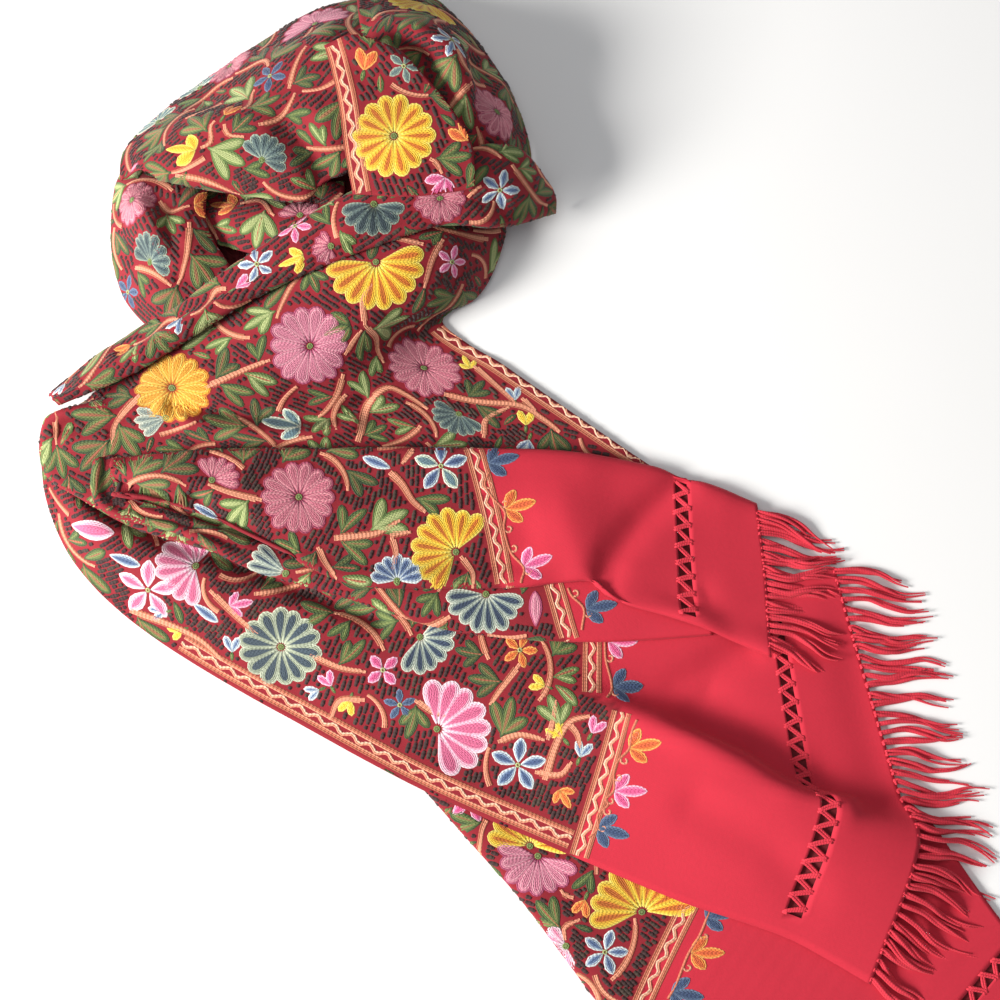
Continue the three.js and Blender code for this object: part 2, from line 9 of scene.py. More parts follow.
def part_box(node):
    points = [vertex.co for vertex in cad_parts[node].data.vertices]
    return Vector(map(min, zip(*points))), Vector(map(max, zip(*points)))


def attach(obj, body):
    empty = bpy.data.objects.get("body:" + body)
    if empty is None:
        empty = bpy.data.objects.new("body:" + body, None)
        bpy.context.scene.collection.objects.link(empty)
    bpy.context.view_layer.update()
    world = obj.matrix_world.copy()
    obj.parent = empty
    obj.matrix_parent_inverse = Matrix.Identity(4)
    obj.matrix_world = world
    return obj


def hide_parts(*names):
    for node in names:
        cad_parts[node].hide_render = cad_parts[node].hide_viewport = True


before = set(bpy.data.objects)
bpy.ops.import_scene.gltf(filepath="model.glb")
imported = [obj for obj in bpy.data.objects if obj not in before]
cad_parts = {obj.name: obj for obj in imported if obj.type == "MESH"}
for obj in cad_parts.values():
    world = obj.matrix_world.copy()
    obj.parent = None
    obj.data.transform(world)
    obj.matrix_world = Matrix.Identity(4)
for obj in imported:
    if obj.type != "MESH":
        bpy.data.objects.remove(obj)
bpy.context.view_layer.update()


# ---- The room ----------------------------------------------------------------------------------
# The shawl lies on a plain pale floor, under a soft light from a window on the left, and is seen
# from almost straight above. Nothing here is part of the shawl.
low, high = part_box("fan_core")
HEAP = (low + high) / 2 - Vector((-0.150, 0.020, 0))  # the point that the shawl's sections are measured from
HEAP.z = 0

PICTURE_WIDE = 700  # how much of the floor the picture spans, in millimetres
EYE_DISTANCE, EYE_HEIGHT = 1.5, math.radians(80)
EYE_HALF = PICTURE_WIDE / 2 / (EYE_DISTANCE * 1000)
back = Vector((0, -math.cos(EYE_HEIGHT), math.sin(EYE_HEIGHT)))
up = Vector((0, math.sin(EYE_HEIGHT), math.cos(EYE_HEIGHT)))
eye = HEAP + back * EYE_DISTANCE
camera = bpy.data.objects.new("camera", bpy.data.cameras.new("camera"))
camera.location = eye
camera.rotation_euler = (math.pi / 2 - EYE_HEIGHT, 0, 0)
camera.data.sensor_width, camera.data.lens = 36, 18 / EYE_HALF
camera.data.clip_start, camera.data.clip_end = 0.01, 50
bpy.context.scene.collection.objects.link(camera)
bpy.context.scene.camera = camera
bpy.context.scene.view_settings.view_transform = "Standard"


def sight(px, py):
    """Direction from the camera to a point of a 1000 by 1000 picture."""
    across, upward = (px - 500) / 500 * EYE_HALF, (500 - py) / 500 * EYE_HALF
    return (Vector((1, 0, 0)) * across + up * upward - back).normalized()


def soft_light(name, place, size, power, colour):
    """A broad lamp that is turned to the heap."""
    lamp = bpy.data.objects.new(name, bpy.data.lights.new(name, "AREA"))
    lamp.data.shape, lamp.data.size, lamp.data.size_y = "RECTANGLE", size[0], size[1]
    lamp.data.energy, lamp.data.color = power, colour
    lamp.location = place
    lamp.rotation_euler = (-Vector(place)).to_track_quat("-Z", "Y").to_euler()
    bpy.context.scene.collection.objects.link(lamp)


soft_light("window", (-2.15, -0.55, 1.2), (0.9, 0.9), 129, (1.0, 0.98, 0.95))
soft_light("sky", (-0.3, 0.3, 3.4), (2.6, 2.6), 24, (0.98, 0.99, 1.0))


class Made:
    """A socket of a shader, so that shader maths is written as an expression."""

    def __init__(self, tree, socket):
        self.tree, self.socket = tree, socket

    def node(self, kind, sockets=(), settings=(), out=0):
        """Adds a node, with its settings first and then its sockets' values or links; gives its output."""
        made = self.tree.nodes.new(kind)
        for name, value in dict(settings).items():
            setattr(made, name, value)
        for name, value in dict(sockets).items():
            if isinstance(value, Made):
                self.tree.links.new(value.socket, made.inputs[name])
            else:
                made.inputs[name].default_value = value
        return Made(self.tree, made.outputs[out])

    def other(self, out):
        """Another output of the same node."""
        return Made(self.tree, self.socket.node.outputs[out])

    def maths(self, operation, *values):
        """One step of maths, on sockets or numbers."""
        return self.node("ShaderNodeMath", dict(enumerate(values)), {"operation": operation})

    def __add__(self, other):
        return self.maths("ADD", self, other)

    def __radd__(self, other):
        return self.maths("ADD", other, self)

    def __sub__(self, other):
        return self.maths("SUBTRACT", self, other)

    def __rsub__(self, other):
        return self.maths("SUBTRACT", other, self)

    def __mul__(self, other):
        return self.maths("MULTIPLY", self, other)

    def __rmul__(self, other):
        return self.maths("MULTIPLY", other, self)

    def __abs__(self):
        return self.maths("ABSOLUTE", self)

    def mix(self, a, b):
        """Colour a where this value is 0, and b where it is 1."""
        return self.node("ShaderNodeMix", {0: self, 6: a, 7: b}, {"data_type": "RGBA"}, out=2)


def finish_of(name, constant):
    """A new material: its principled shader, and a socket to start expressions from."""
    material = bpy.data.materials.new(name)
    material.use_nodes = True
    shader = material.node_tree.nodes["Principled BSDF"]
    for socket, value in constant.items():
        shader.inputs[socket].default_value = value
    start = Made(material.node_tree, shader.outputs[0])

    def wire(socket, made):
        material.node_tree.links.new(made.socket, shader.inputs[socket])

    return material, start, wire


def noise(start, scale, detail, place=None):
    """Soft noise over the piece's own coordinates, or over another place."""
    place = place or start.node("ShaderNodeTexCoord", out=3)
    return start.node("ShaderNodeTexNoise", {"Vector": place, "Scale": scale, "Detail": detail})


def mesh_piece(name, points, faces, material):
    """A smooth mesh of one material, put in the scene."""
    mesh = bpy.data.meshes.new(name)
    mesh.from_pydata([tuple(p) for p in np.asarray(points).tolist()], [], np.asarray(faces).tolist())
    mesh.shade_smooth()
    mesh.materials.append(material)
    made = bpy.data.objects.new(name, mesh)
    bpy.context.scene.collection.objects.link(made)
    return made


floor_paint, at, wire = finish_of("pale_floor", {"Roughness": 0.55})
cloud = noise(at, 2.5, 3.0)
wire("Base Color", cloud.mix((0.86, 0.855, 0.84, 1), (0.90, 0.895, 0.885, 1)))
floor = mesh_piece("floor", [(-6, -6, 0), (6, -6, 0), (6, 6, 0), (-6, 6, 0)], [(0, 1, 2, 3)], floor_paint)

world = bpy.data.worlds.new("daylight")
world.use_nodes = True
world.node_tree.nodes["Background"].inputs["Color"].default_value = (0.93, 0.95, 1.0, 1)
world.node_tree.nodes["Background"].inputs["Strength"].default_value = 0.26
bpy.context.scene.world = world


# ---- The cloth ---------------------------------------------------------------------------------
# Fine wool twill, dyed crimson in the piece and brushed to a soft nap. It is one length of cloth, and
# each stretch of it that shows is a thin shell on that stretch's own sections, seams left open a hair.
CLOTH_THICK, FLOOR_GAP = 0.0013, 0.0002
NETS = {  # name: rolled edges, steps along and across, rows of sections, in millimetres
    "under_end": ((0, 4), 15, 7, [
        [[42, -157, 4], [0, -174, 5], [-61, -191, 6]], [[126, -171, 4], [56, -206, 5], [-22, -235, 6]],
        [[195, -185, 4], [105, -242, 5], [13, -274, 6]], [[244, -199, 4], [143, -274, 6], [43, -313, 7]],
        [[284, -213, 4], [181, -306, 6], [74, -351, 7]], [[318, -260, 4], [230, -348, 5], [133, -391, 6]],
        [[349, -303, 4], [279, -377, 5], [196, -430, 6]], [[384, -345, 4], [325, -412, 4], [251, -465, 5]]]),
    "front_end": ((0, 0), 22, 11, [
        [[-288, 40, 14], [-296, 42, 16], [-308, 45, 14], [-322, 48, 7]],
        [[-278, 18, 16], [-288, 15, 18], [-301, 9, 18], [-318, 5, 6]],
        [[-254, -7, 18], [-266, -17, 19], [-278, -30, 18], [-299, -40, 4]],
        [[-207, -28, 20], [-221, -43, 19], [-235, -59, 16], [-263, -79, 4]],
        [[-145, -45, 18], [-159, -68, 17], [-177, -90, 15], [-208, -117, 4]],
        [[-80, -62, 14], [-94, -90, 14], [-108, -122, 13], [-128, -162, 4]],
        [[-7, -66, 12], [-21, -104, 11], [-35, -143, 12], [-52, -202, 4]],
        [[49, -62, 10], [43, -108, 10], [33, -154, 16], [19, -233, 5]],
        [[104, -58, 9], [106, -136, 9], [103, -162, 24], [70, -255, 6]],
        [[150, -54, 8], [159, -164, 9], [166, -192, 29], [129, -279, 7]],
        [[187, -58, 7], [206, -188, 9], [220, -218, 27], [192, -300, 8]],
        [[232, -48, 5], [272, -202, 7], [282, -241, 18], [248, -331, 8]]]),
    "inner_roll": ((0, 0), 7, 7, [
        [[-241, 229, 16], [-234, 207, 20], [-227, 188, 18]],
        [[-203, 229, 24], [-196, 196, 36], [-188, 174, 30]],
        [[-158, 228, 30], [-155, 188, 46], [-152, 164, 38]],
        [[-109, 222, 34], [-110, 191, 48], [-112, 171, 42]]]),
    "left_rim": ((0, 0), 9, 8, [
        [[-267, 243, 8], [-241, 230, 24], [-204, 224, 22]],
        [[-275, 231, 8], [-249, 208, 40], [-206, 204, 32]],
        [[-278, 205, 7], [-245, 187, 50], [-203, 184, 38]],
        [[-276, 173, 7], [-239, 160, 42], [-188, 160, 34]],
        [[-265, 141, 7], [-233, 134, 32], [-175, 141, 30]],
        [[-243, 118, 7], [-216, 117, 20], [-165, 124, 22]]]),
    "body": ((6, 0), 16, 13, [
        [[-307, 63, 6], [-282, 77, 13], [-240, 103, 20], [-174, 141, 30], [-88, 183, 38], [-41, 197, 32],
         [-1, 207, 6]],
        [[-310, 55, 10], [-282, 69, 22], [-238, 87, 33], [-162, 120, 46], [-74, 159, 52], [-31, 172, 42],
         [4, 190, 6]],
        [[-317, 50, 18], [-285, 61, 26], [-239, 70, 32], [-163, 99, 43], [-81, 126, 46], [-41, 136, 34],
         [-13, 148, 5]],
        [[-320, 31, 18], [-289, 38, 24], [-240, 54, 30], [-164, 74, 34], [-103, 96, 28], [-66, 114, 12],
         [-41, 128, 4]],
        [[-313, 12, 20], [-286, 18, 24], [-241, 37, 27], [-165, 53, 26], [-90, 76, 16], [-42, 89, 8],
         [0, 98, 4]],
        [[-288, -4, 23], [-261, 3, 25], [-227, 17, 24], [-149, 32, 18], [-49, 48, 10], [3, 56, 6],
         [52, 61, 4]],
        [[-251, -24, 24], [-227, -17, 24], [-197, -7, 21], [-118, 5, 14], [-14, 14, 8], [49, 20, 6],
         [105, 24, 4]],
        [[-197, -40, 22], [-173, -37, 20], [-138, -32, 16], [-56, -23, 10], [42, -15, 6], [101, -12, 5],
         [157, -9, 4]]]),
    "inner_pleat": ((0, 5), 18, 4, [
        [[-267, 27, 24], [-274, 25, 26], [-280, 22, 24]], [[-258, 4, 24], [-269, 3, 27], [-281, 1, 24]],
        [[-240, -4, 24], [-253, -9, 27], [-269, -15, 24]],
        [[-207, -15, 24], [-212, -22, 28], [-220, -29, 25]],
        [[-159, -35, 22], [-164, -44, 27], [-172, -52, 24]],
        [[-104, -49, 20], [-103, -60, 24], [-104, -72, 20]],
        [[-41, -49, 18], [-39, -72, 22], [-37, -93, 18]], [[21, -41, 16], [31, -71, 19], [42, -101, 16]],
        [[83, -45, 14], [90, -73, 16], [97, -100, 13]], [[139, -65, 11], [143, -81, 12], [147, -96, 10]]]),
    "top_end": ((5, 6), 21, 7, [
        [[-266, 23, 24], [-268, 10, 27], [-261, -4, 24]], [[-233, 27, 34], [-228, 6, 40], [-212, -14, 34]],
        [[-185, 31, 32], [-177, 0, 38], [-158, -39, 30]], [[-124, 33, 28], [-117, -11, 31], [-103, -63, 26]],
        [[-55, 34, 24], [-52, -15, 26], [-48, -66, 22]], [[0, 34, 20], [7, -18, 22], [14, -65, 20]],
        [[42, 33, 17], [48, -18, 24], [57, -62, 25]], [[83, 27, 12], [82, -24, 18], [73, -74, 24]],
        [[126, 17, 9], [127, -34, 13], [130, -89, 15]], [[179, -3, 7], [184, -55, 9], [186, -112, 10]]]),
    "dome": ((0, 6), 12, 9, [
        [[-269, 225, 16], [-254, 227, 44], [-240, 221, 48]],
        [[-267, 255, 10], [-235, 237, 60], [-209, 212, 54]],
        [[-235, 290, 7], [-197, 250, 70], [-168, 205, 57]],
        [[-186, 326, 6], [-156, 267, 76], [-131, 202, 58]],
        [[-134, 359, 6], [-119, 283, 77], [-99, 228, 59]], [[-82, 370, 5], [-85, 298, 66], [-78, 258, 50]]]),
    "crown": ((0, 0), 10, 9, [
        [[-105, 378, 9], [-96, 312, 81], [-89, 273, 62]], [[-49, 369, 9], [-53, 317, 84], [-67, 282, 58]],
        [[-7, 324, 9], [-23, 284, 80], [-57, 268, 58]], [[17, 276, 9], [-8, 251, 68], [-47, 241, 56]],
        [[22, 243, 9], [-3, 224, 46], [-41, 221, 46]], [[16, 216, 9], [-9, 204, 32], [-48, 204, 34]]]),
    "cross_band": ((0, 6), 18, 7, [
        [[-318, 74, 4], [-315, 73, 13], [-310, 66, 19], [-304, 60, 20]],
        [[-284, 102, 4], [-279, 99, 22], [-267, 88, 38], [-255, 81, 36]],
        [[-249, 121, 8], [-241, 116, 38], [-226, 108, 50], [-214, 106, 44]],
        [[-201, 142, 30], [-200, 145, 44], [-186, 135, 58], [-175, 130, 52]],
        [[-163, 166, 40], [-163, 170, 52], [-142, 158, 64], [-123, 153, 56]],
        [[-116, 194, 46], [-117, 199, 58], [-96, 183, 68], [-76, 171, 58]],
        [[-71, 214, 52], [-71, 219, 62], [-53, 199, 70], [-39, 184, 58]],
        [[-26, 226, 54], [-26, 232, 62], [-15, 207, 66], [-8, 184, 52]],
        [[13, 236, 42], [13, 239, 48], [16, 212, 52], [14, 192, 36]],
        [[37, 222, 10], [38, 221, 16], [40, 213, 20], [40, 208, 14]]]),
    "corner_flap": ((0, 0), 7, 7, [
        [[-121, 303, 73], [-98, 308, 82], [-67, 298, 72]], [[-111, 265, 70], [-78, 266, 78], [-40, 267, 76]],
        [[-107, 233, 67], [-70, 233, 75], [-20, 237, 74]],
        [[-101, 201, 66], [-60, 198, 72], [-17, 204, 72]]]),
}


def through(points):
    """Curve through points (first axis), as a function of its share."""
    p = np.asarray(points, float)
    ends = np.concatenate([[2 * p[0] - p[1]], p, [2 * p[-1] - p[-2]]])

    def curve(share):
        k = np.minimum((np.asarray(share) * (len(p) - 1)).astype(int), len(p) - 2)
        w = (np.asarray(share) * (len(p) - 1) - k).reshape(-1, *[1] * (p.ndim - 1))
        a, b, c, d = ends[k], ends[k + 1], ends[k + 2], ends[k + 3]
        s, t = (c - a) / 2, (d - b) / 2
        return ((2 * b - 2 * c + s + t) * w + (3 * c - 3 * b - 2 * s - t)) * w * w + s * w + b

    return curve


def run_along(line):
    """How far along a line each of its points lies."""
    return np.concatenate([[0], np.cumsum(np.linalg.norm(np.diff(line, axis=0), axis=1))])


def grid_runs(grid):
    """How far along and across a grid its rows and columns lie, on average."""
    along = np.linalg.norm(np.diff(grid, axis=0), axis=2).mean(1)
    across = np.linalg.norm(np.diff(grid, axis=1), axis=2).mean(0)
    return np.concatenate([[0], np.cumsum(along)]), np.concatenate([[0], np.cumsum(across)])


def on_line(run, line, share):
    """The point of a line at a share of its run."""
    return np.array([np.interp(share * run[-1], run, line[:, c]) for c in range(line.shape[1])])


def sideways(line):
    """The unit step to the left of a line on the flat, at each of its points."""
    way = np.gradient(line, axis=0)
    return np.stack([-way[:, 1], way[:, 0]], 1) / np.linalg.norm(way, axis=1, keepdims=True)


def toward(angle):
    """A step of one in a direction."""
    return np.array([math.cos(angle), math.sin(angle)])


def cell_corners(grid):
    """The four corners of each cell of a grid, in order round the cell."""
    return grid[:-1, :-1], grid[1:, :-1], grid[1:, 1:], grid[:-1, 1:]


def smooth_between(run, values, wanted):
    """Values (first axis) known at `run`, read smoothly at `wanted`."""
    step = np.diff(run)
    shape = (-1,) + (1,) * (values.ndim - 1)
    slope = np.diff(values, axis=0) / step.reshape(shape)
    lean = np.concatenate([slope[:1], slope, slope[-1:]])[1:].copy()
    near = (step[1:] / (step[:-1] + step[1:])).reshape(shape)
    lean[1:-1] = near * slope[:-1] + (1 - near) * slope[1:]
    lean[0] = slope[0]
    k = np.clip(np.searchsorted(run, wanted, side="right") - 1, 0, len(run) - 2)
    w, h = ((wanted - run[k]) / step[k]).reshape(shape), step[k].reshape(shape)
    return ((2 * w**3 - 3 * w**2 + 1) * values[k] + (w**3 - 2 * w**2 + w) * h * lean[k]
            + (3 * w**2 - 2 * w**3) * values[k + 1] + (w**3 - w**2) * h * lean[k + 1])


def regrid(along, across, values, wanted_along, wanted_across):
    """A grid of values, read smoothly at other rows and columns."""
    values = smooth_between(along, values, wanted_along)
    return smooth_between(across, values.swapaxes(0, 1), wanted_across).swapaxes(0, 1)


def spread_flat(points, passes=700, push=1.6):
    """Where a grid of points lies once the cloth is spread flat, its lengths kept as well as they can be."""
    n, m = points.shape[:2]
    along, across = grid_runs(points)
    corner, beside, _, next_to = cell_corners(points)
    mirrored = np.cross(beside - corner, next_to - corner)[..., 2].sum() < 0
    flat = np.stack(np.meshgrid(along, -across if mirrored else across, indexing="ij"), -1)
    ties = []
    for di, dj in ((1, 0), (0, 1), (1, 1), (1, -1)):
        a = (slice(0, n - di), slice(max(0, -dj), m - max(0, dj)))
        b = (slice(di, n), slice(max(0, dj), m + min(0, dj)))
        ties.append((a, b, np.linalg.norm(points[b] - points[a], axis=2, keepdims=True)))
    count = np.zeros((n, m, 1))
    for a, b, _ in ties:
        count[a] += 1
        count[b] += 1
    for _ in range(passes):
        move = np.zeros_like(flat)
        for a, b, rest in ties:
            gap = flat[b] - flat[a]
            long = np.linalg.norm(gap, axis=2, keepdims=True)
            pull = gap * (0.5 * (long - rest) / long)
            move[a] += pull
            move[b] -= pull
        flat += push * move / count
    return flat


class Stretch:
    """A stretch of cloth: its top face, its normals, and where each point lies on the flat cloth."""

    def __init__(self, name, cell=3.0, band=None, creases=()):
        self.name = name
        (first, last), along, across, rows = NETS[name]
        lines = through(np.array(rows, float))(np.arange(along + 1) / along)
        grid = []
        for line in lines:
            fine = through(line)(np.arange(49) / 48)
            run = run_along(fine)
            at = first + (run[-1] - first - last) * np.arange(across + 1) / across
            row = [np.array([np.interp(s, run, fine[:, k]) for k in range(3)]) for s in at]
            for radius, edge, end in ((first, fine[0], 0), (last, fine[-1], -1)):
                if radius:
                    top = row[end]
                    out = (edge - top)[:2] / np.linalg.norm((edge - top)[:2])
                    rolled = [np.array([*(top[:2] + out * radius * math.sin(math.radians(t))), 0])
                              for t in (45, 90, 135)]
                    row = [*rolled[::-1], *row] if end == 0 else [*row, *rolled]
            grid.append(row)
        grid = np.array(grid)
        self.settle(grid, first, last)
        self.hem = grid[-1, (3 if first else 0):(-3 if last else None)]
        self.inland = grid[-2, (3 if first else 0):(-3 if last else None)]
        # finer, and smooth, with a line of points on each side of a drawn-thread band
        along, across = grid_runs(grid)
        want_along = np.linspace(0, along[-1], max(2, round(along[-1] / cell)) + 1)
        stops = [0, *([across[3]] if first else []), *([across[-4]] if last else []), across[-1]]
        want_across = np.unique(np.concatenate([
            np.linspace(a, b, max(3, round((b - a) / cell)) + 1) for a, b in zip(stops[:-1], stops[1:])]))
        if band:
            middle = np.interp(band[0] * (len(along) - 1), range(len(along)), along)
            sides = [middle - band[1], middle + band[1]]
            clear = [s for s in want_along
                     if min(abs(s - e) for e in sides) > cell * 0.45 and not sides[0] < s < sides[1]]
            want_along = np.sort([*clear, *sides])
            self.band = [int(np.argmin(abs(want_along - e))) for e in sides]
        self.top = regrid(along, across, grid, want_along, want_across)
        coarse_along = np.linspace(0, along[-1], max(3, round(along[-1] / 12)) + 1)
        coarse_across = np.linspace(0, across[-1], max(3, round(across[-1] / 9)) + 1)
        rough = spread_flat(regrid(along, across, grid, coarse_along, coarse_across))
        self.flat = regrid(coarse_along, coarse_across, rough, want_along, want_across)
        self.turn()
        lowest = self.lowest()
        for path, width, rise in creases:
            self.crease(path, width, rise)
        self.top[..., 2] = np.maximum(self.top[..., 2], lowest)
        self.turn()
        self.kept = np.ones((len(want_along) - 1, len(want_across) - 1), bool)
        if band:
            ends = [int(np.argmin(abs(want_across - e))) for e in (band[2], across[-1] - band[2])]
            self.slot = (*self.band, *ends)
            self.kept[self.band[0]:self.band[1], ends[0]:ends[1]] = False

    def settle(self, grid, first, last):
        """Takes the heights of the grid's points from the laid solid, which has a corner at each of them."""
        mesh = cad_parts[self.name].data
        at = np.zeros(len(mesh.vertices) * 3)
        mesh.vertices.foreach_get("co", at)
        at = (at.reshape(-1, 3) - np.array(HEAP)) * 1000
        tree = kdtree.KDTree(len(at))
        for k, (x, y, _) in enumerate(at):
            tree.insert((x, y, 0), k)
        tree.balance()
        rows, cols = grid.shape[:2]
        for i in range(rows):
            for j in range(cols):
                found = [at[k][2] for _, k, _ in tree.find_range((*grid[i, j, :2], 0), 0.08)]
                lowest = (first and j == 0) or (last and j == cols - 1)
                grid[i, j, 2] = (min(found) if lowest else max(found)) if found else np.nan
        for j in range(cols):
            known = ~np.isnan(grid[:, j, 2])
            grid[:, j, 2] = np.interp(np.arange(rows), np.arange(rows)[known], grid[known, j, 2])

    def lowest(self, seat=0.7):
        """How low the cloth can sink at each of its points before it touches what it lies on."""
        points, faces = [], []
        for name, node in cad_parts.items():
            if name != self.name:
                faces += [[v + len(points) for v in face.vertices] for face in node.data.polygons]
                points += [vertex.co[:] for vertex in node.data.vertices]
        others = BVHTree.FromPolygons(points, faces)
        found = np.zeros(self.top.shape[:2])
        for k, point in enumerate(self.place(self.top).reshape(-1, 3)):
            hit = others.ray_cast(Vector(point), Vector((0, 0, -1)))[0]
            found.flat[k] = hit.z * 1000 if hit else 0.0
        return np.minimum(self.top[..., 2], found + CLOTH_THICK * 1000 + seat)

    def turn(self):
        """Works out the normals of the top face, which point away from the floor."""
        slope = np.cross(np.gradient(self.top, axis=0), np.gradient(self.top, axis=1))
        self.up = slope / np.linalg.norm(slope, axis=2, keepdims=True)
        self.facing = 1 if self.up[len(self.up) // 2, self.up.shape[1] // 2, 2] > 0 else -1
        self.up *= self.facing

    def crease(self, path, width, rise):
        """A soft ridge, or a trough if rise is below 0, along a path of picture points."""
        way = np.array([self.plan(px, py) for px, py in path])
        away = np.full(self.top.shape[:2], 1e9)
        for a, b in zip(way[:-1], way[1:]):
            t = np.clip(((self.top[..., :2] - a) @ (b - a)) / ((b - a) @ (b - a)), 0, 1)
            away = np.minimum(away, np.linalg.norm(self.top[..., :2] - a - t[..., None] * (b - a), axis=2))
        self.top = self.top + self.up * (rise * np.exp(-(away / width) ** 2))[..., None]

    def plan(self, px, py, high=15):
        """The place on plan, in millimetres, of a point of the picture that is about 15 mm up."""
        eye_up, tilt_stretch, tilt_shift = 1477, 1.0154, 0.176  # the camera's height, and what its tilt does
        scale = PICTURE_WIDE / 1000 * (1 - high / eye_up)
        return np.array([(px - 500) * scale, (500 - py) * scale * tilt_stretch - tilt_shift * high])

    def place(self, points):
        """Millimetres from the heap's point, as a place in the row frame in metres."""
        return points / 1000 + np.array(HEAP)

    def shell(self, material):
        """The visible sheet, with its flat shape as its UV map."""
        top = self.place(self.top)
        under = top - self.up * CLOTH_THICK
        made, used = self.sheet_between(self.name + "_cloth", top, under, self.kept, material)
        flat = np.concatenate([self.flat.reshape(-1, 2)] * 2)[used] / 1000
        corner = np.zeros(len(made.data.loops), np.int32)
        made.data.loops.foreach_get("vertex_index", corner)
        made.data.uv_layers.new(name="flat").data.foreach_set("uv", flat[corner].ravel())
        return made

    def layer_beneath(self, drop, material):
        """A strip of the next layer down, under the drawn-thread band."""
        i0, i1, j0, j1 = self.slot
        part = (slice(i0 - 3, i1 + 4), slice(j0 - 1, j1 + 2))
        top = self.place(self.top[part] - self.up[part] * drop)
        under = top - self.up[part] * CLOTH_THICK
        top[..., 2] = np.maximum(top[..., 2], FLOOR_GAP + CLOTH_THICK)
        under[..., 2] = np.maximum(under[..., 2], FLOOR_GAP)
        return self.sheet_between(self.name + "_layer_beneath", top, under,
                                  np.ones((top.shape[0] - 1, top.shape[1] - 1), bool), material)[0]

    def sheet_between(self, name, top, under, kept, material):
        """A closed sheet between two grids of points, without the cells that aren't kept."""
        n, m = top.shape[:2]
        number, beyond = np.arange(n * m).reshape(n, m), n * m
        a, b, c, d = cell_corners(number)
        faces = [np.stack([a, b, c, d], -1)[kept], np.stack([a, d, c, b], -1)[kept] + beyond]
        padded = np.pad(kept, 1)
        neighbours = (padded[1:-1, :-2], padded[2:, 1:-1], padded[1:-1, 2:], padded[:-2, 1:-1])
        for p, q, beside in zip((a, b, c, d), (b, c, d, a), neighbours):
            rim = kept & ~beside
            faces.append(np.stack([q[rim], p[rim], p[rim] + beyond, q[rim] + beyond], -1))
        faces = np.concatenate(faces)
        if self.facing < 0:
            faces = faces[:, ::-1]
        used, faces = np.unique(faces, return_inverse=True)
        points = np.concatenate([top.reshape(-1, 3), under.reshape(-1, 3)])
        return mesh_piece(name, points[used], faces.reshape(-1, 4), material), used

    def face_tree(self):
        """Makes the top face ready for lines of sight."""
        n, m = self.top.shape[:2]
        number = np.arange(n * m).reshape(n, m)
        a, b, c, d = (x.ravel() for x in cell_corners(number))
        self.triangles = np.concatenate([np.stack([a, b, c], 1), np.stack([a, c, d], 1)])
        self.corners = self.place(self.top).reshape(-1, 3)
        self.tree = BVHTree.FromPolygons(self.corners.tolist(), self.triangles.tolist())

    def flat_near(self, px, py):
        """The point of the flat cloth under a point of the picture, or the nearest that is on the cloth."""
        for away in range(0, 24, 2):
            for turn in np.linspace(0, 2 * math.pi, 9)[:-1]:
                found = self.flat_at(px + away * math.cos(turn), py + away * math.sin(turn))
                if found is not None:
                    return found

    def flat_at(self, px, py):
        """The point of the flat cloth, in millimetres, that a point of the picture shows, or None."""
        hit, _, face, _ = self.tree.ray_cast(eye, sight(px, py))
        if hit is None:
            return None
        a, b, c = (self.corners[k] for k in self.triangles[face])
        edges = np.stack([b - a, c - a], 1)
        s, t = np.linalg.lstsq(edges, np.array(hit) - a, rcond=None)[0]
        fa, fb, fc = (self.flat.reshape(-1, 2)[k] for k in self.triangles[face])
        return fa + s * (fb - fa) + t * (fc - fa)


wool, at, wire = finish_of("crimson_wool", {
    "Roughness": 0.86, "Sheen Weight": 0.12, "Sheen Roughness": 0.4, "Sheen Tint": (1.0, 0.35, 0.4, 1)})
on_cloth = at.node("ShaderNodeUVMap", settings={"uv_map": "flat"})
nap = noise(at, 420.0, 2.0, on_cloth)
wear = noise(at, 28.0, 3.0, on_cloth)
plain = (0.55 * nap + 0.45 * wear).mix((0.47, 0.012, 0.030, 1), (0.62, 0.020, 0.046, 1))
# the embroidered field gets a darker crimson than the plain ends: painted shade between the stitches, over
# the same random tone
painted_field_shade = at.node("ShaderNodeAttribute", settings={"attribute_name": "painted_field_shade"}, out=2)
field = (0.5 * nap + 0.5 * wear).mix((0.18, 0.004, 0.011, 1), (0.33, 0.009, 0.020, 1))
wire("Base Color", painted_field_shade.mix(plain, field))
warp = at.node("ShaderNodeSeparateXYZ", {"Vector": on_cloth})
twill = at.maths("SINE", (warp + warp.other(1)) * 6500.0)
relief = twill * 0.4 + nap
wire("Normal", at.node("ShaderNodeBump", {"Strength": 0.35, "Distance": 0.00025, "Height": relief}))
wire("Roughness", 0.80 + 0.12 * nap)

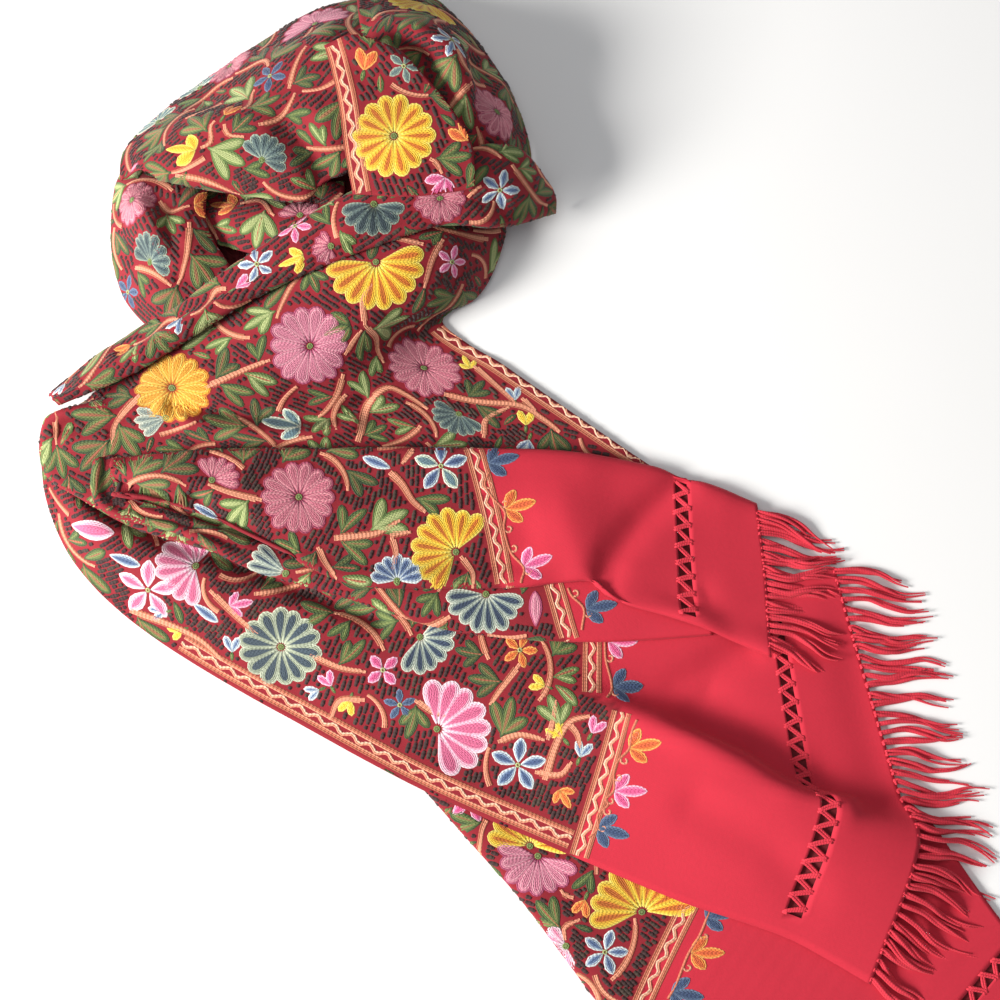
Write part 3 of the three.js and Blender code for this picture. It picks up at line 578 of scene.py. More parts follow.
# drawn-thread bands: how far along the stretch, half the width, and how far in from its edges
BANDS = {"under_end": (6 / 7, 4.7, 10), "front_end": (10 / 11, 4.7, 8), "top_end": (8 / 9, 4.7, 9)}
CREASES = {  # soft ridges, and troughs where the rise is below 0: [points of the picture, width, rise]
    "body": [([(40, 402), (95, 400), (135, 384)], 7, -6), ([(45, 414), (100, 410)], 7, 3.5),
             ([(60, 432), (96, 424), (150, 412)], 5, -5), ([(70, 444), (104, 440)], 6, 3),
             ([(172, 409), (226, 418), (301, 423), (341, 417), (363, 402)], 5, -7),
             ([(190, 426), (250, 433), (310, 433), (350, 424)], 8, 6),
             ([(205, 360), (260, 372), (300, 392)], 14, -2), ([(400, 330), (430, 345), (470, 352)], 14, -2)],
    "front_end": [([(60, 470), (95, 500), (164, 539), (221, 557), (298, 587), (380, 618)], 7, -8),
                  ([(90, 530), (160, 562), (215, 582)], 14, 3),
                  ([(620, 700), (660, 692), (700, 674), (743, 646)], 13, -5),
                  ([(613, 706), (700, 742), (780, 779), (838, 798)], 8, 5),
                  ([(700, 702), (760, 740), (806, 770)], 15, -4),
                  ([(848, 620), (858, 700), (880, 790)], 16, -2),
                  ([(300, 700), (420, 742), (520, 775)], 16, -2),
                  ([(690, 800), (760, 838), (800, 880)], 14, -2.5)],
    "inner_pleat": [([(112, 488), (196, 512), (260, 532)], 6, -7)],
    "top_end": [([(100, 452), (104, 486), (150, 500), (200, 504)], 5, -5),
                ([(200, 504), (248, 536), (290, 560)], 7, -3.5),
                ([(330, 470), (440, 500), (520, 530)], 16, -2),
                ([(598, 596), (612, 556), (640, 520), (682, 482)], 11, -5),
                ([(560, 600), (640, 596), (700, 590)], 12, -2),
                ([(590, 470), (650, 482), (720, 500)], 14, 1.5)],
    "inner_roll": [([(190, 196), (250, 186), (310, 190)], 12, -7)],
    "left_rim": [([(150, 196), (165, 214), (172, 250)], 8, -6),
                 ([(128, 250), (150, 270), (180, 280)], 8, -4)],
    "dome": [([(150, 150), (220, 158), (300, 146)], 11, -5), ([(285, 140), (315, 170), (330, 200)], 11, -8),
             ([(200, 96), (260, 110), (318, 104)], 13, -5), ([(240, 50), (280, 60), (320, 50)], 12, 3)],
    "crown": [([(358, 36), (385, 54), (418, 78)], 10, -11), ([(476, 56), (486, 100), (476, 142)], 7, -7),
              ([(452, 60), (460, 100), (452, 140)], 8, 3), ([(500, 70), (508, 110), (500, 150)], 6, 3)],
    "cross_band": [([(120, 352), (170, 324), (250, 290), (330, 252)], 6, -5),
                   ([(380, 224), (440, 216), (500, 212)], 6, -5)],
    "corner_flap": [([(340, 80), (380, 100), (440, 100)], 10, -2)],
}
stretches = {name: Stretch(name, band=BANDS.get(name), creases=CREASES.get(name, ())) for name in NETS}
cloths = {}
for name, stretch in stretches.items():
    stretch.face_tree()
    cloths[name] = stretch.shell(wool)
    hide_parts(name)
    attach(cloths[name], "root")


# ---- The hidden folds --------------------------------------------------------------------------
# The layers inside the bundle and under the fan: more of the same cloth, folded over and over. They
# only show as red shadow down a gap between two stretches, so they keep their plain rounded form, and
# their crimson is painted much darker than the wool above: painted shade.
folds, at, wire = finish_of("hidden_folds", {"Roughness": 0.9})
inside = noise(at, 60.0, 3.0)
# a dark crimson for the same wool: painted shade
wire("Base Color", inside.mix((0.10, 0.004, 0.007, 1), (0.17, 0.007, 0.012, 1)))
layers = at.node("ShaderNodeTexWave", {
    "Vector": at.node("ShaderNodeTexCoord", out=3), "Scale": 60.0, "Distortion": 3.0},
    {"bands_direction": "Z"})
wire("Normal", at.node("ShaderNodeBump", {"Strength": 0.5, "Distance": 0.001, "Height": layers + inside}))
for name in ("bundle_core", "fan_core"):
    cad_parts[name].data.materials.clear()
    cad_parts[name].data.materials.append(folds)
# the shawl is laid double, so a second layer lies close under each slot, in the dark hidden-fold colour:
# painted shade seen through the holes
for name in BANDS:
    beneath = stretches[name].layer_beneath(2.6, folds)
    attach(beneath, "root")


# ---- The drawn-thread bands --------------------------------------------------------------------
# Weft threads are drawn out of each plain end for half a finger's width, and the warp that is left is
# caught together in twos with a hem stitch, so that it zigzags across the slot.
def node_tree(name, inputs):
    """A new Geometry Nodes tree: its inputs by name, and the node that takes its result."""
    tree = bpy.data.node_groups.new(name, "GeometryNodeTree")
    for label, kind in {"Geometry": "NodeSocketGeometry", **inputs}.items():
        tree.interface.new_socket(label, in_out="INPUT", socket_type=kind)
    tree.interface.new_socket("Geometry", in_out="OUTPUT", socket_type="NodeSocketGeometry")
    given = tree.nodes.new("NodeGroupInput")
    sockets = {socket.name: Made(tree, socket) for socket in given.outputs if socket.name}
    return tree, sockets, tree.nodes.new("NodeGroupOutput")


def stored(made, name, value):
    """The same geometry, with a number stored on its points."""
    return made.node("GeometryNodeStoreNamedAttribute", {"Geometry": made, "Name": name, "Value": value},
                     {"data_type": "FLOAT", "domain": "POINT"})


def named(made, name, kind="FLOAT"):
    """What is stored on the points under a name."""
    return made.node("GeometryNodeInputNamedAttribute", {"Name": name}, {"data_type": kind})


def end_tree(tree, result, made, material):
    """Ends a tree: smooth, real, and of one material."""
    smooth = made.node("GeometryNodeSetShadeSmooth", {"Geometry": made})
    real = smooth.node("GeometryNodeRealizeInstances", {"Geometry": smooth})
    done = real.node("GeometryNodeSetMaterial", {"Geometry": real, "Material": material})
    tree.links.new(done.socket, result.inputs["Geometry"])


def grow(name, lines, tree, values):
    """The plain mesh that a tree makes from lines: [points in metres, closed, {attribute: values}]."""
    points = np.concatenate([line[0] for line in lines])
    start, edges = 0, []
    for line, closed, _ in lines:
        k = np.arange(start, start + len(line))
        edges.append(np.stack([k[:-1], k[1:]], 1))
        if closed:
            edges.append(np.array([[k[-1], k[0]]]))
        start += len(line)
    mesh = bpy.data.meshes.new(name)
    mesh.from_pydata(points.tolist(), np.concatenate(edges).tolist(), [])
    for key in lines[0][2]:
        width = 3 if key == "colour" else 1
        values_of = np.concatenate([
            np.broadcast_to(np.reshape(line[2][key], (-1, width)), (len(line[0]), width)) for line in lines])
        if width == 3:
            colour = np.concatenate([values_of, np.ones((len(values_of), 1))], 1)
            mesh.attributes.new(key, "FLOAT_COLOR", "POINT").data.foreach_set("color", colour.ravel())
        else:
            mesh.attributes.new(key, "FLOAT", "POINT").data.foreach_set("value", values_of.ravel())
    piece = bpy.data.objects.new(name, mesh)
    bpy.context.scene.collection.objects.link(piece)
    modifier = piece.modifiers.new("grow", "NODES")
    modifier.node_group = tree
    for item in tree.interface.items_tree:
        if item.in_out == "INPUT" and item.name in values:
            modifier[item.identifier] = values[item.name]
    made = bpy.data.meshes.new_from_object(piece.evaluated_get(bpy.context.evaluated_depsgraph_get()))
    piece.modifiers.clear()
    piece.data = made
    made.name = name
    return piece


yarn, at, wire = finish_of("wool_yarn", {
    "Roughness": 0.85, "Sheen Weight": 0.12, "Sheen Roughness": 0.5, "Sheen Tint": (1.0, 0.4, 0.4, 1)})
length = at.node("ShaderNodeAttribute", settings={"attribute_name": "run"}, out=2)
round_it = at.node("ShaderNodeAttribute", settings={"attribute_name": "round"}, out=2)
fuzz = noise(at, 900.0, 2.0)
ply = at.maths("SINE", length * 3400.0 + round_it * 6.283)
# the colour darkens in a spiral along each thread where the plies dip: painted shade of the twist; the fuzz
# noise is random tone
wire("Base Color", (0.18 * ply + 0.7 * fuzz + 0.15).mix((0.46, 0.014, 0.032, 1), (0.80, 0.040, 0.070, 1)))
wire("Normal", at.node("ShaderNodeBump", {"Strength": 0.6, "Distance": 0.0004, "Height": ply * 0.25 + fuzz}))

spun, given, result = node_tree("spun_yarn", {
    "Half thickness": "NodeSocketFloat", "Sides": "NodeSocketInt", "Wool": "NodeSocketMaterial"})
line = given["Geometry"].node("GeometryNodeMeshToCurve", {"Mesh": given["Geometry"]})
line = stored(line, "run", line.node("GeometryNodeSplineParameter", out=1))
ring = line.node("GeometryNodeCurvePrimitiveCircle", {
    "Resolution": given["Sides"], "Radius": given["Half thickness"]})
ring = stored(ring, "round", ring.node("GeometryNodeSplineParameter", out=0))
tube = line.node("GeometryNodeCurveToMesh", {
    "Curve": line, "Profile Curve": ring, "Fill Caps": True, "Scale": named(line, "thick")})
end_tree(spun, result, tube, given["Wool"])

# a zigzag's length, how far apart its two threads run and how deep, and half their thickness in metres
ZIGZAG, BAR_APART, BAR_SUNK, THREAD_HALF = 12.0, 0.9, 0.7, 0.00105
for name in BANDS:
    stretch = stretches[name]
    i0, i1, j0, j1 = stretch.slot
    sides = [stretch.top[i, j0:j1 + 1] - stretch.up[i, j0:j1 + 1] * BAR_SUNK for i in (i0, i1)]
    runs = [run_along(side) for side in sides]
    whole = min(run[-1] for run in runs)
    turns = int(whole // (ZIGZAG / 2))
    lines = []
    for apart in (-BAR_APART, BAR_APART):
        way = []
        for k in range(turns + 1):
            share = np.clip((k / turns) + apart / whole, 0, 1)
            here = [on_line(run, side, share) for side, run in zip(sides, runs)]
            near, far = here[k % 2], here[1 - k % 2]
            way += [near + (near - far) * 0.12, near * 0.93 + far * 0.07]
        way = through(np.array(way))(np.linspace(0, 1, turns * 7 + 1))
        way[:, 2] += 0.25 * np.sin(np.linspace(0, turns * math.pi, len(way)) + apart * 3)
        thick = 1 + 0.35 * np.abs(np.cos(np.linspace(0, turns * math.pi, len(way)))) ** 6
        lines.append([stretch.place(way), False, {"thick": thick}])
    lattice = grow(name + "_drawn_threads", lines, spun, {
        "Half thickness": THREAD_HALF, "Sides": 6, "Wool": yarn})
    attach(lattice, "root")


# ---- The fringes -------------------------------------------------------------------------------
# The warp ends run on past each hem for two inches and are rolled together in fours. Every lock keeps
# to the course of its solid, spreads a little, and comes undone at its tip.
chance = random.Random(11)
STRANDS, STRAND_HALF, LOCK_POINTS = 4, 0.0012, 26
FRINGES = {  # locks, length, directions in degrees from the first lock to the last
    "under_end": (28, 56, (-36, -46, -52)),
    "front_end": (44, 56, (-12, -2, -4, -4, -16, -26, -44)),
    "top_end": (20, 54, (-26, -8, -2, -14, -26)),
}
fringes = {}
t = np.linspace(0, 1, LOCK_POINTS)
for name, (locks, long, headings) in FRINGES.items():
    stretch = stretches[name]
    hem, node = stretch.hem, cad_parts[name + "_fringe"]
    solid = BVHTree.FromPolygons([vertex.co[:] for vertex in node.data.vertices],
                                 [face.vertices[:] for face in node.data.polygons])
    run = run_along(hem)
    out = sideways(hem[:, :2])
    out *= np.sign(((hem - stretch.inland)[:, :2] * out).sum(1, keepdims=True))
    heading = through(np.radians(headings))
    lines, drawn, together = [], 0.5, 0
    for k in range(locks):
        share = (k + 0.5) / locks
        if together == 0:  # twos to fours of locks cling at their tips
            together = chance.choice((2, 2, 3, 3, 4))
            drawn = (k + together / 2) / locks
        together -= 1
        root, away = on_line(run, hem, share), on_line(run, out, share)
        path = [root[:2] - away * 1.5, root[:2] + away * 1.9]
        reach = long * (1 + 0.08 * math.sin(k * 2.3) + 0.06 * math.sin(k * 0.6))
        for s in range(1, 5):
            turn = float(heading(np.array([share]))[0])
            turn = turn + 0.2 * math.sin(s * 1.6 + k * 0.4) + 0.11 * math.sin(s + k * 2.7)
            path.append(path[-1] + toward(turn) * reach / 4)
        path = through(np.array(path))(t)
        cling = t[:, None] ** 1.6 * (drawn - share) * 0.8
        path += cling * (hem[-1, :2] - hem[0, :2])
        height = [root[2] - 0.4]
        for x, y in path[1:]:
            spot = stretch.place(np.array([x, y, 0]))
            hit = solid.ray_cast(Vector((spot[0], spot[1], 0.3)), Vector((0, 0, -1)))[0]
            height.append(hit.z * 1000 - 0.9 if hit else max(1.0, height[-1] - 0.8))
        height = np.maximum(np.convolve(np.pad(height, 2, mode="edge"), np.ones(5) / 5, mode="valid"), 1.0)
        side_way = sideways(path)
        for strand in range(STRANDS):
            turn = strand * 1.571 + k + t * (4 + chance.uniform(-1, 1))
            loose = 1.25 + 0.5 * np.sin(t * 3.1 + k)
            sway = chance.uniform(-2.4, 2.4) * t**2
            sway = sway + 0.5 * np.sin(t * chance.uniform(5, 9) + chance.uniform(0, 6)) * t
            cut = LOCK_POINTS - chance.choice([0, 1, 2, 4, 6])
            line = np.empty((LOCK_POINTS, 3))
            line[:, :2] = path + side_way * (loose * np.cos(turn) + sway)[:, None]
            line[:, 2] = np.maximum(height + loose * np.sin(turn) * 0.8 + 0.3, 1.7)
            thick = np.interp(t, [0, 0.5, cut / LOCK_POINTS], [0.8, 1.15, 0.35]) * chance.uniform(0.9, 1.2)
            lines.append([stretch.place(line)[:cut], False, {"thick": thick[:cut]}])
    fringes[name] = grow(name + "_fringe_locks", lines, spun, {
        "Half thickness": STRAND_HALF, "Sides": 5, "Wool": yarn})
    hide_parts(name + "_fringe")
    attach(fringes[name], "root")


# ---- The embroidery ----------------------------------------------------------------------------
# Crewel work in two-ply wool: rows of hooked chain stitch, laid side by side from the outline in to
# fill each petal and leaf. Each row is drawn on the flat cloth and then laid over its folds.
stitched, given, result = node_tree("chain_stitch_rows", {
    "Cloth": "NodeSocketObject", "Row width": "NodeSocketFloat", "Row height": "NodeSocketFloat",
    "Sunk": "NodeSocketFloat", "Wool": "NodeSocketMaterial"})
line = given["Geometry"].node("GeometryNodeMeshToCurve", {"Mesh": given["Geometry"]})
line = line.node("GeometryNodeSetCurveNormal", {"Curve": line}, {"mode": "Z_UP"})
line = stored(line, "run", line.node("GeometryNodeSplineParameter", out=1))
half = given["Row width"] * 0.5
arch = line.node("GeometryNodeCurveQuadraticBezier", {
    "Resolution": 2,
    "Start": line.node("ShaderNodeCombineXYZ", {"X": half * -1.0}),
    "Middle": line.node("ShaderNodeCombineXYZ", {"Y": given["Row height"] * -2.0}),
    "End": line.node("ShaderNodeCombineXYZ", {"X": half})})
arch = stored(arch, "round", arch.node("GeometryNodeSplineParameter", out=0))
row = line.node("GeometryNodeCurveToMesh", {
    "Curve": line, "Profile Curve": arch, "Scale": named(line, "thick")})
cloth = line.node("GeometryNodeObjectInfo", {"Object": given["Cloth"]}, out=4)
where = line.node("GeometryNodeInputPosition")
apart = line.node("ShaderNodeSeparateXYZ", {"Vector": where})
flat = line.node("ShaderNodeCombineXYZ", {"X": apart, "Y": apart.other(1)})
spread = named(line, "flat", "FLOAT_VECTOR")


def read_from(value):
    """What the cloth says at a row's place on the flat."""
    return line.node("GeometryNodeSampleUVSurface", {
        "Mesh": cloth, "Value": value, "UV Map": spread, "Sample UV": flat}, {"data_type": "FLOAT_VECTOR"})


on_top = read_from(where)
normal = read_from(named(line, "up", "FLOAT_VECTOR"))
lift = named(line, "lift")
above = apart.other(2) + lift - given["Sunk"]
high = line.node("ShaderNodeVectorMath", {0: normal, "Scale": above}, {"operation": "SCALE"})
# a row that runs off the edge of its stretch stops there
off = named(line, "off")
marked = stored(row, "off", 1.0 - on_top.other(1))
place = line.node("ShaderNodeVectorMath", {0: on_top, 1: high}, {"operation": "ADD"})
laid = marked.node("GeometryNodeSetPosition", {"Geometry": marked, "Position": place})
trimmed = laid.node("GeometryNodeDeleteGeometry", {
    "Geometry": laid, "Selection": off.maths("GREATER_THAN", off, 0.001)}, {"domain": "POINT"})
end_tree(stitched, result, trimmed, given["Wool"])

crewel, at, wire = finish_of("crewel_wool", {"Roughness": 0.8, "Sheen Weight": 0.15, "Sheen Roughness": 0.5})
dyed = at.node("ShaderNodeAttribute", settings={"attribute_name": "colour"})
length = at.node("ShaderNodeAttribute", settings={"attribute_name": "run"}, out=2)
over = at.node("ShaderNodeAttribute", settings={"attribute_name": "round"}, out=2)
uneven = noise(at, 700.0, 2.0)
# each link of the chain is a narrow loop, drawn in at its ends
link = at.maths("SINE", length * 2400.0 + abs(over - 0.5) * 4.0)
edge = abs(over - 0.5) * 2.0
# the wool's own colour is darkened toward each row's sides and in the dips between links: painted shade, over
# random tone from the noise
light = 0.62 + 0.13 * link + 0.5 * uneven - 0.25 * edge
shade = light.node("ShaderNodeClamp", {"Value": light})
dark = at.node("ShaderNodeMix", {0: 1.0, 6: dyed, 7: (0.66, 0.60, 0.60, 1)},
               {"data_type": "RGBA", "blend_type": "MULTIPLY"}, out=2)
wire("Base Color", shade.mix(dark, dyed))
relief = 0.35 * link + 0.9 * uneven
wire("Normal", at.node("ShaderNodeBump", {"Strength": 0.7, "Distance": 0.0004, "Height": relief}))


def dye(*colour):
    """The linear colour of a wool, from its shade on a screen."""
    return np.array([0.86 * ((c / 255 + 0.055) / 1.055) ** 2.4 for c in colour])


# Wools, each a run of shades from the outline in to the middle
PINK = [dye(180, 76, 114), dye(228, 138, 162), dye(240, 166, 182), dye(226, 138, 162)]
PALE = [dye(255, 228, 236), dye(252, 204, 220), dye(246, 176, 200), dye(226, 112, 152)]
ROSE = [dye(172, 70, 100), dye(224, 130, 148), dye(236, 156, 166), dye(220, 126, 144)]
CANDY = [dye(255, 198, 220), dye(246, 134, 180), dye(230, 92, 146)]
YELLOW = [dye(255, 232, 110), dye(255, 220, 74), dye(255, 208, 58), dye(250, 186, 48), dye(216, 118, 36)]
GOLD = [dye(214, 124, 38), dye(246, 182, 54), dye(252, 206, 92), dye(240, 168, 50)]
ORANGE = [dye(250, 176, 92), dye(242, 136, 60), dye(222, 100, 52)]
SKY = [dye(224, 234, 232), dye(170, 188, 206), dye(100, 122, 160), dye(72, 92, 134)]
BLUE = [dye(104, 124, 152), dye(78, 98, 130), dye(62, 82, 118)]
SLATE = [dye(160, 176, 158), dye(112, 132, 128), dye(92, 112, 112), dye(58, 76, 84)]
SAGE = [dye(216, 224, 196), dye(182, 192, 166), dye(164, 174, 150), dye(76, 92, 104)]
SILVER = [dye(230, 236, 216), dye(190, 202, 186), dye(150, 166, 160), dye(64, 80, 106)]
CREAM = [dye(236, 240, 220), dye(190, 210, 190), dye(110, 140, 150)]
LEAF = [dye(62, 82, 44), dye(90, 110, 56), dye(122, 136, 74), dye(158, 108, 72)]
FRESH = [dye(88, 112, 56), dye(126, 146, 82), dye(176, 188, 124)]
FERN = [dye(52, 70, 42), dye(78, 98, 52), dye(108, 110, 60), dye(150, 94, 64)]
STEM, BARK = dye(236, 158, 124), dye(180, 100, 72)
COPPER, SHELL = dye(206, 118, 88), dye(246, 202, 170)
SOOT, MOSS = dye(58, 30, 28), dye(66, 50, 38)
PITCH = 1.25  # from one chain-stitch row to the next, mm
ROW_WIDE, ROW_HIGH, ROW_SUNK = 0.00145, 0.00052, 0.00012  # of a row, in metres


def turned(points, angle, place):
    """Points drawn about the origin, turned and moved to a place."""
    c, s = math.cos(angle), math.sin(angle)
    return np.asarray(points) @ np.array([[c, s], [-s, c]]) + place


class Needlework:
    """The rows stitched on one stretch, drawn on its flat cloth in millimetres."""

    def __init__(self, stretch, seed):
        self.stretch, self.rows, self.chance = stretch, [], random.Random(seed)
        flat = stretch.flat.reshape(-1, 2)
        self.corner = flat.min(0) - 30
        size = np.ceil(flat.max(0) + 30 - self.corner).astype(int)
        self.taken = np.zeros(size, bool)  # one cell for each millimetre of cloth
        self.cloth = np.zeros(size, bool)
        near, along, far, across = cell_corners(stretch.flat)
        for a in np.linspace(0, 1, 5):
            for b in np.linspace(0, 1, 5):
                p = near * (1 - a) * (1 - b) + along * a * (1 - b) + across * (1 - a) * b + far * a * b
                self.cells(self.cloth, p.reshape(-1, 2))

    def cells(self, board, points):
        """Marks the cells of a board that points fall in."""
        k = np.floor(points - self.corner).astype(int)
        k = k[((k >= 0) & (k < board.shape)).all(1)]
        board[k[:, 0], k[:, 1]] = True

    def reads(self, board, points):
        """Whether each point falls in a marked cell of a board."""
        k = np.floor(np.atleast_2d(points) - self.corner).astype(int)
        inside = ((k >= 0) & (k < board.shape)).all(1)
        k = np.clip(k, 0, np.array(board.shape) - 1)
        return inside & board[k[:, 0], k[:, 1]]

    def free(self, points):
        """Whether none of the points is on or beside other stitches."""
        return not self.reads(self.taken, points).any()

    def row(self, points, colour, width=1.0, closed=False, lift=0.0, claim=0.9):
        """One row of stitches, which claims the cloth about it."""
        points = np.asarray(points, float)
        if len(points) < 2:
            return
        tint = np.clip(np.asarray(colour) * (1 + self.chance.uniform(-0.10, 0.10)), 0, 1)
        self.rows.append([np.column_stack([points / 1000, np.zeros(len(points))]), closed,
                          {"colour": tint, "thick": np.broadcast_to(width, len(points)),
                           "lift": lift / 1000}])
        if claim:
            loop = np.vstack([points, points[:1]]) if closed else points
            steps = np.linspace(0, 1, 4)[:, None, None]
            walk = (loop[:-1] * (1 - steps) + loop[1:] * steps).reshape(-1, 2)
            for dx in (-claim, 0, claim):
                for dy in (-claim, 0, claim):
                    self.cells(self.taken, walk + (dx, dy))

    def blade(self, at, angle, long, wide, shades, blunt=1.0, bend=0.0, full=0.75, vein=None, claim=0.9):
        """One petal or leaf, filled with rows from its outline in."""
        def middle(x):
            return bend * long * (x / long) ** 2
        k = 0
        while True:
            start, l, w = 0.8 * k * PITCH, long - 1.6 * k * PITCH, wide - PITCH * (2 * k + 1)
            if l < 2.5 or w < 0.5:
                break
            t = (1 - np.cos(np.linspace(0, math.pi, max(4, int(l / 2.7)) + 1))) / 2
            half_width = w / 2 * np.sin(math.pi * t**blunt) ** full
            x = start + t * l
            outline = np.vstack([np.stack([x, half_width], 1), np.stack([x, -half_width], 1)[-2:0:-1]])
            outline[:, 1] += middle(outline[:, 0])
            self.row(turned(outline, angle, at), shades[min(k, len(shades) - 1)], closed=True,
                     claim=claim if k == 0 else 0, lift=0.12 * min(k, 2))
            k += 1
        if l > 3 and w > -1.3:  # one row up the middle closes what is left
            x = np.linspace(start + 0.6, start + l - 0.4, max(2, int(l / 4) + 1))
            self.row(turned(np.stack([x, middle(x)], 1), angle, at), shades[min(k, len(shades) - 1)], 1.1,
                     lift=0.1, claim=0)
        if vein is not None:
            x = np.linspace(0.08, 0.8, 5) * long
            self.row(turned(np.stack([x, middle(x)], 1), angle, at), vein, 1.0, lift=0.3, claim=0)
        if claim:
            x = np.linspace(0.04, 0.97, max(3, int(long / 0.8)))
            for side in np.linspace(-0.9, 0.9, max(3, int(wide / 0.8))):
                y = side * wide / 2 * np.sin(math.pi * x**blunt) ** full + bend * long * x**2
                self.cells(self.taken, turned(np.stack([x * long, y], 1), angle, at))

    def blade_is_free(self, at, angle, long, wide, near=0.12):
        """Whether a blade's middle and both its sides lie on bare cloth."""
        x = np.linspace(near, 1.04, 6)
        narrowing = np.sin(math.pi * np.clip(x, 0, 0.97)) ** 0.75
        body = np.concatenate([
            np.stack([x * long, side * wide / 2 * narrowing], 1) for side in (-1.1, 0, 1.1)])
        return self.free(turned(body, angle, at))

    def ring(self, at, radius, points, colour, width, lift):
        """A round of stitches, as at a flower's eye."""
        t = np.linspace(0, 2 * math.pi, points + 1)[:-1]
        self.row(at + radius * np.stack([np.cos(t), np.sin(t)], 1), colour, width, closed=True, lift=lift)

    def daisy(self, at, across, shades, petals=14, start=0.0, sweep=2 * math.pi):
        """Ribbed petals round a small green eye, or part of the way round."""
        reach, hole = across / 2, across * 0.055
        whole = sweep > 6.2
        if not whole:
            petals = max(4, round(petals * sweep / (2 * math.pi)))
        for k in range(petals):
            angle = start + sweep * (k + (0 if whole else 0.5)) / petals
            long = (reach - hole) * self.chance.uniform(0.94, 1.04)
            base = at + hole * toward(angle)
            wide = 2 * math.sin(min(1.2, sweep / petals / 2)) * reach * 0.98 + 0.6
            tone = [c * (0.90 + 0.14 * math.sin(angle + 0.7)) for c in shades]
            self.blade(base, angle, long, wide, tone, blunt=2.1, full=0.5,
                       bend=self.chance.uniform(-0.04, 0.04))
        for radius in (0.6, 1.9):
            self.ring(at, radius, 7, FRESH[1], 0.8, 0.35)

    def blossom(self, at, across, shades, petals=5, start=0.0, second=None):
        """A small flower of separate, pointed petals."""
        for k in range(petals):
            angle = start + 2 * math.pi * k / petals
            base = at + across * 0.06 * toward(angle)
            self.blade(base, angle, across * 0.46, across * (1.35 / petals if petals > 4 else 0.34),
                       second if second and k % 2 else shades, blunt=1.25, full=0.8)
        self.ring(at, 1.3, 6, FRESH[2], 0.9, 0.3)

    def heart(self, at, angle, across, shades):
        """Two petals and a short green one behind them."""
        for side in (-1, 1):
            self.blade(at, angle + side * 0.42, across, across * 0.55, shades, blunt=1.5, full=0.7)
        self.blade(at, angle + math.pi, across * 0.5, across * 0.24, FRESH)

    def tulip(self, at, angle, across, shades):
        """Three petals opening from a stem."""
        for turn, size in ((-1.0, 0.68), (1.0, 0.68), (0, 1.0)):
            self.blade(at, angle + turn, across * size, across * 0.40, shades, blunt=1.25, full=0.7,
                       bend=-0.10 * turn)

    def leaf(self, at, angle, long, shades, lobes=1):
        """A blade with a rounded tip, and one or two shorter lobes beside it."""
        vein = BARK if self.chance.random() < 0.6 else None
        wide = min(11.5, long * (0.42 if lobes == 1 else 0.34))
        for side in {1: (), 2: (self.chance.choice((-1, 1)),), 3: (-1, 1)}[lobes]:
            root = at + 0.08 * long * toward(angle)
            self.blade(root, angle + side * 0.52, long * self.chance.uniform(0.66, 0.84), wide, shades,
                       blunt=1.5, bend=0.12 * side, full=0.55)
        self.blade(at, angle, long, wide, shades, blunt=1.45, bend=self.chance.uniform(-0.2, 0.2), full=0.6,
                   vein=vein)

    def stem(self, way, rows=4, colours=(BARK, STEM, STEM, BARK), claim=1.5, width=1.1):
        """Rows of stitches side by side, which draw together toward the tip."""
        way = np.asarray(way, float)
        long = np.linalg.norm(np.diff(way, axis=0), axis=1).sum()
        if long < 3:
            return
        lean = np.gradient(way, axis=0)
        lean = np.stack([-lean[:, 1], lean[:, 0]], 1) / (np.linalg.norm(lean, axis=1, keepdims=True) + 1e-9)
        for k in range(rows):
            place = k - (rows - 1) / 2
            apart = PITCH * place * np.linspace(1.0, 0.45, len(way))[:, None]
            short = int(abs(place) * 0.7)  # the outer rows stop first, so that the ends are rounded
            self.row((way + lean * apart)[short:len(way) - short], colours[k % len(colours)], width,
                     claim=claim, lift=0.1)

    def curl(self, at, angle, size, hand):
        """A tendril that winds in on itself."""
        t = np.linspace(0, 1, 11)
        r = size * (1 - 0.72 * t)
        turn = angle + hand * (t * 5.4 - 1.6)
        middle = at + size * toward(angle + hand * 1.57)
        self.stem(middle + np.stack([r * np.cos(turn), r * np.sin(turn)], 1), 1, (STEM,), claim=1.2)

    def border(self, way, hand=1, zigzag=13.0):
        """Copper stripe, pale zigzag, copper stripe: way is the inner stripe, hand the side of the others."""
        way = np.asarray(way, float)
        long = np.linalg.norm(np.diff(way, axis=0), axis=1).sum()
        n = max(3, int(long / 2.7))
        run = run_along(way)
        line = np.stack([np.interp(np.linspace(0, run[-1], n), run, way[:, c]) for c in range(2)], 1)
        lean = hand * sideways(line)
        stripes = ((0, BARK), (1.2, COPPER), (2.4, STEM), (10.0, STEM), (11.2, COPPER), (12.4, BARK))
        for off, colour in stripes:
            self.row(line + lean * off, colour, 1.02)
        wave = 1.8 * np.sin(np.linspace(0, run[-1], n) * 2 * math.pi / zigzag)[:, None]
        for off in (5.6, 6.8):
            self.row(line + lean * (off + wave), SHELL if off < 6 else STEM, 1.1, lift=0.15)
        spread = np.tile(np.linspace(-1.2, 1.2, 4)[:, None], (n, 2))
        for off in np.arange(-1.5, 14.2, 0.8):
            self.cells(self.taken, np.repeat(line + lean * off, 4, axis=0) + spread)

